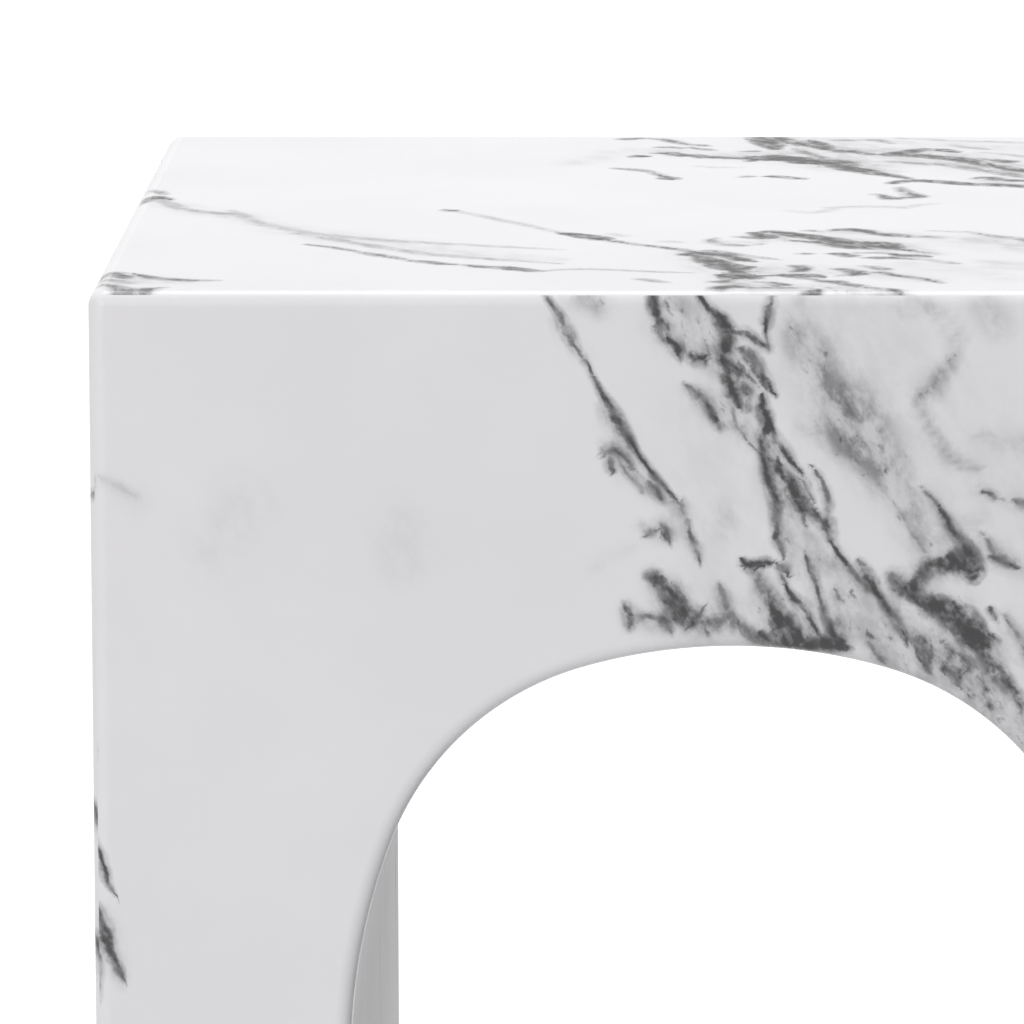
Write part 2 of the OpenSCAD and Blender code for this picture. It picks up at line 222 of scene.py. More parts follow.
def welded(points, normals, faces, rings):
    """Joins points closer than SAME. A face that has shrunk to a triangle stays as a triangle, and one
    that has shrunk to a line is dropped. Gives the first point at each place, the faces and the normals
    at their corners."""
    _, first, joined = np.unique(np.round(points / SAME).astype(np.int64), axis=0,
                                 return_index=True, return_inverse=True)
    joined = joined.reshape(-1)
    cells = joined[faces]
    whole = (cells != np.roll(cells, -1, axis=1)).all(1)
    made, directions = cells[whole].tolist(), [normals[faces[whole]].reshape(-1, 3)]
    for face in list(faces[~whole]) + rings:
        ids = joined[face]
        stays = ids != np.roll(ids, -1)
        if stays.sum() > 2 and len(set(ids[stays])) == stays.sum():
            made.append(ids[stays].tolist())
            directions.append(normals[face][stays])
    return points[first], made, np.concatenate(directions)


def build_piece(name, patches, caps=()):
    """Puts all patches into one mesh. A cap is a ring of points closed by one flat face."""
    points, faces, directions = welded(*stacked(patches, caps))
    mesh = bpy.data.meshes.new(name)
    mesh.from_pydata(points, [], faces)
    mesh.polygons.foreach_set("use_smooth", [True] * len(mesh.polygons))
    mesh.normals_split_custom_set(directions)
    mesh.update()
    piece = bpy.data.objects.new(name, mesh)
    bpy.context.scene.collection.objects.link(piece)
    print(name, "points", len(mesh.vertices), "faces", len(mesh.polygons))
    return piece


# %% [markdown]
# A plain board, the top or a side, is a flat field whose borders roll over into the arris as far as
# the mitre, at 45 degrees. Its outer face is one grid: the middle columns and rows are flat, and the
# outer ones turn by an angle. The same formula makes the ball-shaped corners where three boards meet.

# %% Make a plain board
STEPS = 6
TURNS = np.radians(np.linspace(0, 45, STEPS + 1))


def levels(first, last, cell, roll_first, roll_last):
    """Places along one side of a board: a flat run from first to last, and at an end that rolls over, a
    run of turning angles there. Gives the places and their angles."""
    flat = np.linspace(first, last, 1 + max(1, round((last - first) / cell)))
    places, angles = flat, np.zeros_like(flat)
    if roll_first:
        places = np.concatenate([np.full(STEPS, first), places])
        angles = np.concatenate([-TURNS[:0:-1], angles])
    if roll_last:
        places = np.concatenate([places, np.full(STEPS, last)])
        angles = np.concatenate([angles, TURNS[1:]])
    return places, angles


def rolled(across, up):
    """Outer face of a board in its own axes (across, up, out). With n = (tan a, tan b, 1) for the two
    angles, the point is (across + r tan a / |n|, up + r tan b / |n|, r / |n| - r), and n / |n| is the
    direction of the surface there; r is the arris radius."""
    (u, a), (v, b) = across, up
    n = np.stack(np.broadcast_arrays(np.tan(a)[None, :], np.tan(b)[:, None], 1.0), -1)
    n /= np.linalg.norm(n, axis=-1, keepdims=True)
    core = np.stack(np.broadcast_arrays(u[None, :], v[:, None], -ARRIS), -1)
    return core + ARRIS * n, n


def inner_face(outer, side, foot, head):
    """The inner face lies one board thickness in: each point of the outer grid is moved straight in, and
    held within the inner corners, so the border rows fold on to them."""
    inner = outer.copy()
    inner[..., 0] = np.clip(inner[..., 0], -side, side)
    inner[..., 1] = np.clip(inner[..., 1], foot, head)
    inner[..., 2] = -BOARD
    return inner


def strip(outer, inner):
    """A flat strip between two borders, square to both: its direction is the cross product of the run
    along the border and the run across the strip."""
    grid = np.stack([outer, inner])
    along = outer[-1] - outer[0]
    across = inner[len(inner) // 2] - outer[len(outer) // 2]
    direction = np.cross(along, across)
    return grid, direction / np.linalg.norm(direction)


def plain_board(across, up, foot, head, side):
    """All patches of a board: outer face, inner face, and the four strips that join their borders, each
    facing away from the middle of the board."""
    outer, normals = rolled(across, up)
    inner = inner_face(outer, side, foot, head)
    patches = [(outer, normals), patch(inner, (0, 0, -1))]
    middle = np.array([0, (foot + head) / 2, -BOARD / 2])
    for pick in ((0, slice(None)), (-1, slice(None)), (slice(None), 0), (slice(None), -1)):
        grid, direction = strip(outer[pick], inner[pick])
        if np.dot(direction, grid.mean((0, 1)) - middle) < 0:
            direction = -direction
        patches.append(patch(grid, direction))
    return patches


def turned_to(patches, right, up, out, at):
    """Carries patches from board axes to the table: right, up and out are the directions of the board's
    axes, and at is the middle of its face."""
    axes = np.array([right, up, out], float)
    return [(grid @ axes + np.array(at), normals @ axes) for grid, normals in patches]


CELL = 2.4 * MM
FLAT = HALF - ARRIS
INSIDE = HALF - BOARD
full = levels(-FLAT, FLAT, CELL, True, True)
standing = levels(FOOT, TOP - ARRIS, CELL, False, True)
top_board = build_piece("top_board", turned_to(plain_board(full, full, -INSIDE, INSIDE, INSIDE),
                                               (1, 0, 0), (0, 1, 0), (0, 0, 1), (0, 0, TOP)))
side_patches = plain_board(full, standing, FOOT, TOP - BOARD, INSIDE)
left_board = build_piece("left_board", turned_to(side_patches, (0, -1, 0), (0, 0, 1), (-1, 0, 0),
                                                 (-HALF, 0, 0)))
right_board = build_piece("right_board", turned_to(side_patches, (0, 1, 0), (0, 0, 1), (1, 0, 0),
                                                   (HALF, 0, 0)))

# %% [markdown]
# The front and the back board have the arch cut out of them. Cutting a flat board with a modifier
# would leave long thin faces and a hard edge, so the board is laid out round the opening instead: each
# row follows the arch, first round its own small rounding, then over the flat to the outer border.

# %% Pair the points of the arch with the outer border
CORNER_TURN = math.radians(52)


def border_points():
    """For each point of the arch its partner on the edge of the flat: straight across below the
    springing, then up the side to the corner, and from there along the top to the middle. The corner
    belongs to the point whose direction has turned by CORNER_TURN."""
    points, away = arch_half(PATH_CELL)
    turn = np.arctan2(away[:, 1], away[:, 0])
    spring = int(np.argmax(turn > 0)) - 1
    corner = int(np.argmin(np.abs(turn - CORNER_TURN)))
    x = np.full(len(points), FLAT)
    z = points[:, 1].copy()
    z[spring:corner + 1] = np.linspace(points[spring, 1], TOP - ARRIS, corner + 1 - spring)
    z[corner:] = TOP - ARRIS
    x[corner:] = np.linspace(FLAT, 0, len(points) - corner)
    half = np.stack([x, z], 1)
    return np.concatenate([half * [-1.0, 1.0], half[-2::-1]]), corner


BORDER, CORNER = border_points()
print("the corner of the front is point", CORNER, "of", len(BORDER))

# %% Lay out the patches of the board with the arch
FACE_ROWS, INNER_ROWS = 62, 8


def on_face(flat, depth):
    """Puts (across, up) points at a depth behind the face, in board axes."""
    return np.concatenate([flat, np.full(flat.shape[:-1] + (1,), -float(depth))], -1)


AHEAD, OUTWARDS = np.array([0.0, 0, 1]), on_face(AWAY, 0)


def between(start, end, rows):
    """A grid whose rows go evenly from one border to another: (1 - share) start + share end."""
    share = np.linspace(0, 1, rows + 1)[:, None, None]
    return (1 - share) * start + share * end


def opening_patches():
    """The opening's edge, its rounding, and the flat as far as the arris."""
    turns = np.radians(np.linspace(0, 90, 2 * STEPS + 1))[:, None, None]
    direction = -np.cos(turns) * OUTWARDS + np.sin(turns) * AHEAD
    edge = np.stack([on_face(PATH, REBATE_AT), on_face(PATH, ARRIS)])
    rounding = on_face(PATH + ARRIS * AWAY, ARRIS) + ARRIS * direction
    face = between(on_face(PATH + ARRIS * AWAY, 0), on_face(BORDER, 0), FACE_ROWS)
    return [patch(edge, -OUTWARDS), (rounding, direction), patch(face, AHEAD)]


def arris_patches():
    """The arris on three sides and its two ball corners. Gives the patches and the borders at which they
    end on the mitres."""
    patches, rims = [], []
    turns = TURNS[:, None, None]
    last = len(BORDER) - 1
    for run, side in ((slice(0, CORNER + 1), (-1, 0)), (slice(CORNER, last - CORNER + 1), (0, 1)),
                      (slice(last - CORNER, last + 1), (1, 0))):
        lean = np.sin(turns) * np.array([*side, 0.0]) + np.cos(turns) * AHEAD
        arris = on_face(BORDER[run], ARRIS) + ARRIS * lean
        patches.append(patch(arris, lean))
        rims.append(arris[-1])
    for side in (-1, 1):
        n = np.stack(np.broadcast_arrays(side * np.tan(TURNS[:, None]), np.tan(TURNS[None, :]), 1.0), -1)
        n /= np.linalg.norm(n, axis=-1, keepdims=True)
        ball = np.array([side * FLAT, TOP - ARRIS, -ARRIS]) + ARRIS * n
        patches.append((ball, n))
        rims.append((ball[-1], ball[:, -1]))
    return patches, rims


def hidden_patches(rims):
    """The mitres, the inner face, and the ledge and wall of the rebate that holds the lining."""
    left, head, right, (left_side, left_head), (right_side, right_head) = rims
    loops = [np.concatenate([left, left_side[1:]]),
             np.concatenate([left_head[::-1], head[1:-1], right_head]),
             np.concatenate([right_side[::-1], right[1:]])]
    patches = []
    for loop, direction in zip(loops, ((-1, 0, -1), (0, 1, -1), (1, 0, -1))):
        inner = inner_face(loop, INSIDE, FOOT, TOP - BOARD)
        patches.append(patch(np.stack([loop, inner]), np.array(direction) / math.sqrt(2)))
    rebate = PATH + REBATE_EDGE * AWAY
    inner = inner_face(on_face(BORDER, 0), INSIDE, FOOT, TOP - BOARD)
    inside = between(on_face(rebate, BOARD), inner, INNER_ROWS)
    ledge = np.stack([on_face(PATH, REBATE_AT), on_face(rebate, REBATE_AT)])
    wall = np.stack([on_face(rebate, REBATE_AT), on_face(rebate, BOARD)])
    return patches + [patch(inside, -AHEAD), patch(ledge, -AHEAD), patch(wall, -OUTWARDS)]


ARRISES, RIMS = arris_patches()
ARCH_PATCHES = opening_patches() + ARRISES + hidden_patches(RIMS)
print("patches of the board with the arch:", len(ARCH_PATCHES))

# %% [markdown]
# The patches end at the board's two feet, and each foot is closed by one flat face with many corners.
# The same patches make the front board and, turned half round, the back board.

# %% Close the feet and set the board at the front and the back
AT_THE_FOOT = (0, 1, 2, 3, 5, 11)


def foot_caps(patches):
    """The two flat feet of the board: the first and the last point of each row in the patches that reach
    down there, in order round the section, from the opening over the face to the mitre and back along
    the inner face."""
    opening, rounding, face, left, right, inner = (patches[k][0] for k in AT_THE_FOOT)
    caps = []
    for end, arris, inside in ((0, left, 0), (-1, right, -1)):
        ring = [opening[:, end], rounding[1:, end], face[1:, end], arris[1:, end], inner[::-1, inside],
                np.array([[*(PATH + REBATE_EDGE * AWAY)[end], -REBATE_AT]])]
        ring = np.concatenate(ring)
        caps.append((ring if end == 0 else ring[::-1], (0, -1, 0)))
    return caps


def arch_board(name, right, out, at):
    """One board with the arch, carried to its side of the table."""
    axes = np.array([right, (0, 0, 1), out], float)
    caps = [(ring @ axes + np.array(at), np.array(direction) @ axes)
            for ring, direction in foot_caps(ARCH_PATCHES)]
    return build_piece(name, turned_to(ARCH_PATCHES, right, (0, 0, 1), out, at), caps)


front_board = arch_board("front_board", (1, 0, 0), (0, -1, 0), (0, -HALF, 0))
back_board = arch_board("back_board", (-1, 0, 0), (0, 1, 0), (0, HALF, 0))

# %% [markdown]
# The soffit is a thin board bent to the curved part of the arch. Its ends have a tongue that goes into
# the upright inner walls. It could be bent with a curve modifier, but sweeping its section along the
# same path as the opening keeps the two flush.

# %% Make the soffit
TONGUE_FROM, TONGUE_TO, TONGUE_DOWN = 3 * MM, 6 * MM, -4 * MM
STEPPED_END = ((0, 0), (TONGUE_FROM, 0), (TONGUE_FROM, TONGUE_DOWN), (TONGUE_TO, TONGUE_DOWN),
               (TONGUE_TO, 0), (LINING, 0))
SOFFIT_ROWS = 60


def at_depth(flat, y):
    """Puts (across, up) points at the place y from front to back."""
    return np.concatenate([flat[..., :1], np.full(flat.shape[:-1] + (1,), y), flat[..., 1:]], -1)


def soffit_patches():
    """Under side and upper side are the arch path and the path moved out by the lining's thickness, both
    carried from front to back. The two faces between them and the stepped ends close the board."""
    curved = PATH[:, 1] >= SPRING - SAME
    path, away = PATH[curved], AWAY[curved]
    deep = HALF - REBATE_AT
    runs = np.linspace(-deep, deep, SOFFIT_ROWS)
    away3 = at_depth(away, 0)
    patches = [patch(np.stack([at_depth(path, y) for y in runs]), -away3),
               patch(np.stack([at_depth(path + LINING * away, y) for y in runs]), away3)]
    for y, direction in ((-deep, (0, -1, 0)), (deep, (0, 1, 0))):
        edge = [at_depth(path + step * away, y) for step in (0, TONGUE_FROM, TONGUE_TO, LINING)]
        patches.append(patch(np.stack(edge), direction))
        for side in (-1, 1):
            tongue = [[(side * (SPAN + x), SPRING + z) for x in (TONGUE_FROM, TONGUE_TO)]
                      for z in (0, TONGUE_DOWN)]
            patches.append(patch(at_depth(np.array(tongue), y), direction))
    for side in (-1, 1):
        steps = np.array([(side * (SPAN + x), SPRING + z) for x, z in STEPPED_END])
        for k in range(len(steps) - 1):
            run = steps[k:k + 2]
            outwards = -side if k == 1 else side
            direction = (0, 0, -1) if run[0, 1] == run[1, 1] else (outwards, 0, 0)
            patches.append(patch(np.stack([at_depth(run, y) for y in runs]), direction))
    return patches


soffit = build_piece("soffit_board", soffit_patches())

# %% Say what each board stands for
BOARDS = ((top_board, "top_panel"), (left_board, "left_side_panel"), (right_board, "right_side_panel"),
          (front_board, "front_arch_panel"), (back_board, "back_arch_panel"), (soffit, "arch_soffit"))
for piece, node in BOARDS:
    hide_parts(node)
    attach(piece, "root")
    triangles = sum(len(face.vertices) - 2 for face in piece.data.polygons)
    print(piece.name, "stands for", node, "with", triangles, "triangles")

# %% [markdown]
# The marble finish is a printed film, so its veins are drawn, not cut. A stroke is a strength and a
# line of points, each with its place and its width, read from the photograph, and the part that
# the photograph doesn't show goes on in the same manner. Veins are sharp strokes, smoke is a soft
# stain, and spots say where dark flecks gather. All this could be painted in an image, but here it is
# worked out: every point of a board's mesh gets its distance to the nearest vein, and the material
# turns distance into colour.

# %% Draw the veins of the front
FRONT_SCALE = 0.3514
FRONT_LEFT, FRONT_HIGH = -257.7, 601.7


def on_front(x, y):
    """A place in the picture, 1024 wide and high, carried to (across, up) on the front face in mm: both
    grow in step with the picture, because the camera looks at the front almost squarely. A pixel is
    FRONT_SCALE mm, and the picture's upper left corner falls at (FRONT_LEFT, FRONT_HIGH)."""
    return FRONT_LEFT + FRONT_SCALE * x, FRONT_HIGH - FRONT_SCALE * y


FRONT_VEINS = (
    # The long vein that comes down left of the middle, and the small marks beside it.
    (0.80, ((546, 294, 4), (553, 304, 5), (560, 313, 6), (566, 327, 9), (575, 345, 6), (587, 362, 5),
            (597, 382, 4))),
    (0.95, ((594, 376, 2), (599, 385, 5), (607, 400, 7), (614, 412, 10), (621, 425, 9), (629, 437, 6),
            (637, 452, 4), (650, 469, 5), (662, 484, 5), (677, 498, 2))),
    (0.68, ((603, 455, 3), (607, 448, 7), (614, 447, 7), (620, 452, 5), (626, 457, 5), (631, 463, 6),
            (630, 470, 3))),
    (0.68, ((610, 458, 4), (611, 465, 8), (613, 470, 4))),
    (0.35, ((620, 462, 4), (624, 467, 5), (629, 475, 4), (640, 486, 5), (642, 492, 2))),
    (0.58, ((648, 482, 4), (654, 487, 9), (659, 495, 8), (661, 501, 3))),
    (0.35, ((676, 500, 3), (682, 502, 6), (685, 515, 5), (689, 528, 4))),
    (0.60, ((688, 531, 4), (691, 538, 7), (695, 548, 6), (699, 560, 3))),
    (0.55, ((647, 533, 5), (651, 531, 6), (655, 529, 5))),
    (0.50, ((663, 525, 4), (666, 532, 6), (669, 540, 4))),
    # The branched vein from the upper edge down to the crown of the arch and past it.
    (0.90, ((652, 294, 8), (654, 303, 10), (655, 312, 6))),
    (0.40, ((656, 312, 6), (658, 322, 8), (660, 336, 8), (664, 340, 5))),
    (0.90, ((664, 336, 4), (669, 339, 8), (676, 346, 10), (679, 354, 6), (680, 360, 3))),
    (0.92, ((689, 352, 4), (692, 357, 8), (698, 360, 9), (704, 355, 5))),
    (0.95, ((699, 294, 5), (705, 304, 7), (711, 311, 8), (719, 319, 12), (726, 328, 14), (727, 337, 12),
            (726, 346, 8), (723, 350, 3))),
    (0.82, ((728, 331, 5), (737, 331, 6), (745, 331, 8), (752, 337, 7), (759, 342, 6), (766, 346, 6),
            (768, 349, 2))),
    (0.50, ((771, 294, 5), (769, 303, 8), (766, 308, 9))),
    (0.85, ((767, 306, 7), (765, 317, 9), (764, 328, 5))),
    (0.45, ((764, 326, 5), (765, 336, 5), (766, 344, 3))),
    (0.92, ((738, 349, 4), (744, 350, 7), (750, 353, 9), (755, 362, 10), (759, 372, 9), (765, 381, 8),
            (770, 390, 5), (772, 394, 2))),
    (0.62, ((744, 357, 3), (750, 366, 5), (758, 378, 5), (766, 389, 3))),
    (0.75, ((720, 355, 5), (726, 361, 6), (735, 367, 5), (743, 372, 4), (750, 377, 4), (758, 385, 2))),
    (0.92, ((722, 360, 8), (725, 368, 10), (726, 377, 9), (732, 389, 14), (737, 399, 9), (739, 410, 4))),
    (0.72, ((741, 383, 4), (745, 389, 9), (747, 395, 4))),
    (0.66, ((684, 382, 3), (688, 387, 6), (693, 391, 8), (701, 392, 5), (706, 400, 9), (710, 410, 9),
            (717, 424, 6), (719, 428, 2))),
    (0.42, ((726, 398, 5), (731, 410, 7), (735, 424, 6), (745, 437, 4), (758, 452, 2))),
    (0.95, ((760, 388, 3), (761, 398, 6), (762, 406, 9), (764, 416, 12), (766, 427, 9))),
    (0.82, ((764, 424, 6), (761, 434, 8), (760, 446, 8), (762, 459, 5), (766, 474, 8), (770, 489, 9),
            (774, 502, 9), (773, 514, 7), (775, 527, 7), (775, 537, 8), (780, 547, 5), (782, 557, 2))),
    (0.88, ((767, 422, 5), (772, 431, 6), (778, 441, 7), (784, 451, 9), (790, 460, 7), (799, 470, 3))),
    (0.62, ((768, 457, 4), (775, 465, 6), (785, 475, 7), (794, 485, 6), (800, 496, 5))),
    (0.62, ((786, 478, 6), (792, 488, 17), (797, 496, 12), (803, 506, 8))),
    (0.90, ((796, 500, 5), (802, 506, 11), (811, 512, 8), (819, 518, 12), (824, 522, 14), (828, 531, 11),
            (830, 540, 6), (836, 552, 5), (843, 561, 4))),
    (0.55, ((799, 506, 5), (801, 514, 7), (803, 524, 3))),
    (0.62, ((809, 465, 2), (814, 470, 4), (820, 478, 5), (824, 490, 7), (826, 503, 7), (825, 516, 6))),
    (0.42, ((799, 477, 2), (806, 487, 4), (812, 500, 3), (815, 508, 2))),
    (0.50, ((829, 540, 4), (836, 552, 6), (846, 565, 6), (856, 577, 7), (866, 587, 6), (876, 594, 6))),
    (0.88, ((854, 556, 2), (858, 563, 7), (862, 570, 10), (869, 581, 10), (875, 590, 7), (880, 597, 3))),
    (0.70, ((872, 588, 5), (882, 602, 7), (892, 615, 7), (902, 630, 7), (912, 644, 7), (920, 659, 9),
            (926, 668, 5))),
    # The marks above the crown and on its left.
    (0.90, ((740, 558, 3), (743, 562, 7), (748, 565, 10), (756, 562, 6), (767, 560, 6), (772, 562, 3))),
    (0.80, ((774, 563, 3), (779, 565, 7), (785, 568, 7), (787, 573, 3))),
    (0.55, ((778, 569, 4), (782, 578, 6), (786, 588, 4))),
    (0.85, ((784, 585, 3), (790, 593, 6), (797, 601, 8), (802, 605, 10), (805, 612, 6), (812, 624, 5),
            (816, 632, 3))),
    (0.72, ((803, 552, 2), (806, 560, 4), (810, 572, 8), (815, 587, 5), (821, 605, 5), (824, 616, 6),
            (830, 630, 7), (838, 640, 6))),
    (0.92, ((778, 617, 8), (785, 624, 24), (787, 632, 24), (790, 641, 10))),
    (0.85, ((758, 632, 6), (766, 637, 14), (778, 641, 14), (800, 646, 10), (820, 644, 12), (834, 643, 18),
            (844, 648, 8))),
    (0.60, ((768, 590, 6), (773, 602, 12), (776, 614, 14), (772, 628, 12))),
    (0.70, ((626, 607, 7), (629, 613, 9), (630, 622, 8))),
    (0.70, ((645, 575, 4), (651, 574, 8), (657, 575, 9), (664, 584, 10), (667, 596, 14), (673, 608, 15),
            (678, 618, 8))),
    (0.50, ((672, 584, 4), (680, 595, 9), (686, 606, 6))),
    (0.62, ((632, 614, 4), (643, 616, 5), (655, 617, 9), (664, 621, 9), (669, 629, 5))),
    (0.45, ((703, 606, 4), (699, 613, 6), (694, 620, 6), (689, 626, 5))),
    (0.42, ((708, 620, 6), (716, 622, 10), (730, 616, 12), (740, 628, 14), (752, 637, 12))),
    (0.38, ((719, 586, 6), (722, 594, 10), (724, 604, 8))),
    # The heavy vein that runs down to the right.
    (0.45, ((917, 486, 2), (923, 492, 5), (930, 498, 4), (940, 510, 6))),
    (0.75, ((936, 505, 4), (941, 514, 7), (947, 525, 9), (957, 537, 8), (965, 548, 10))),
    (0.25, ((890, 500, 3), (899, 513, 5), (908, 530, 5), (921, 549, 4))),
    (0.95, ((928, 562, 6), (938, 562, 14), (948, 561, 18), (956, 559, 24), (963, 557, 28), (969, 566, 24),
            (971, 576, 12), (972, 581, 4))),
    (0.80, ((932, 560, 8), (926, 563, 13), (920, 572, 13), (915, 581, 14), (911, 588, 8))),
    (0.92, ((899, 587, 5), (905, 589, 14), (912, 593, 15), (919, 598, 12), (927, 606, 18), (934, 606, 14),
            (940, 605, 5))),
    (0.66, ((888, 576, 6), (893, 584, 9), (898, 592, 6))),
    (0.95, ((936, 598, 6), (944, 604, 15), (952, 612, 24), (960, 620, 32), (967, 628, 32), (976, 637, 23),
            (985, 641, 17), (992, 640, 5))),
    (0.88, ((976, 640, 8), (984, 651, 13), (990, 662, 12), (997, 672, 14), (1003, 679, 12), (1012, 692, 10),
            (1024, 712, 12), (1040, 738, 10), (1056, 766, 8), (1066, 790, 4))),
    (0.70, ((933, 606, 6), (937, 614, 9), (943, 624, 6))),
    (0.42, ((978, 533, 4), (984, 541, 8), (990, 550, 7))),
    (0.72, ((984, 556, 3), (990, 556, 7), (996, 558, 9), (1006, 562, 5), (1016, 567, 2))),
    (0.72, ((986, 606, 3), (989, 612, 7), (992, 618, 4))),
    (0.45, ((1000, 614, 4), (1010, 625, 8), (1018, 638, 9), (1022, 650, 10), (1030, 664, 8), (1046, 690, 8),
            (1066, 730, 10), (1080, 770, 8), (1090, 800, 3))),
    (0.62, ((978, 490, 2), (984, 491, 5), (991, 494, 6), (1000, 496, 2))),
    (0.62, ((1008, 498, 2), (1014, 501, 5), (1020, 503, 8), (1030, 506, 5), (1045, 512, 2))),
    (0.66, ((913, 648, 5), (917, 655, 9), (921, 662, 5))),
    (0.55, ((942, 643, 5), (946, 652, 10), (944, 660, 5))),
    (0.55, ((945, 668, 6), (950, 676, 13), (956, 684, 8))),
    (0.45, ((960, 658, 4), (966, 661, 5), (968, 668, 5), (962, 671, 4))),
    (0.40, ((834, 590, 5), (837, 595, 6), (840, 599, 5))),
    (0.45, ((870, 647, 4), (874, 654, 6), (880, 660, 5))),
    # The marks on the left arris.
    (0.90, ((92, 836, 3), (96, 846, 5), (101, 860, 6), (105, 878, 7), (109, 890, 4), (117, 902, 2))),
    (0.85, ((92, 905, 4), (98, 917, 7), (103, 930, 12), (105, 943, 15), (110, 957, 10), (117, 971, 7),
            (123, 987, 3))),
    (0.55, ((92, 948, 6), (97, 958, 7), (99, 972, 6), (97, 990, 5), (95, 1010, 5))),
    (0.60, ((92, 468, 4), (95, 482, 5), (96, 500, 3))),
    (0.40, ((92, 738, 3), (95, 752, 5), (96, 766, 3))),
    (0.12, ((107, 478, 5), (118, 484, 8), (130, 490, 8), (140, 496, 5))),
    # Past the picture: the right of the front and the two feet.
    (0.90, ((1060, 294, 3), (1085, 330, 6), (1120, 365, 8), (1150, 410, 7), (1175, 455, 9), (1215, 500, 8),
            (1240, 545, 6), (1290, 610, 5), (1340, 670, 4), (1378, 700, 3))),
    (0.75, ((1175, 455, 3), (1200, 520, 6), (1210, 580, 7), (1235, 640, 6), (1240, 700, 4),
            (1265, 760, 2))),
    (0.85, ((1040, 560, 4), (1075, 590, 9), (1110, 625, 12), (1140, 680, 10), (1160, 740, 9),
            (1190, 800, 7), (1200, 880, 6), (1235, 950, 5), (1250, 1040, 4), (1290, 1120, 2))),
    (0.60, ((1290, 294, 3), (1310, 340, 5), (1345, 370, 6), (1378, 420, 4))),
    (0.80, ((1378, 1010, 6), (1340, 1050, 9), (1325, 1110, 7), (1290, 1170, 12), (1270, 1250, 8),
            (1240, 1310, 6), (1215, 1400, 3))),
    (0.55, ((1150, 1230, 3), (1180, 1300, 6), (1200, 1390, 6), (1240, 1470, 5), (1260, 1560, 3))),
    (0.70, ((92, 1090, 4), (125, 1130, 8), (140, 1190, 9), (175, 1240, 6), (190, 1320, 5), (230, 1380, 4),
            (250, 1470, 2))),
    (0.45, ((190, 1320, 3), (180, 1400, 5), (200, 1480, 5), (190, 1560, 3))),
    (0.50, ((345, 1190, 3), (320, 1250, 5), (300, 1330, 4), (310, 1420, 2))))

print("veins on the front:", len(FRONT_VEINS))

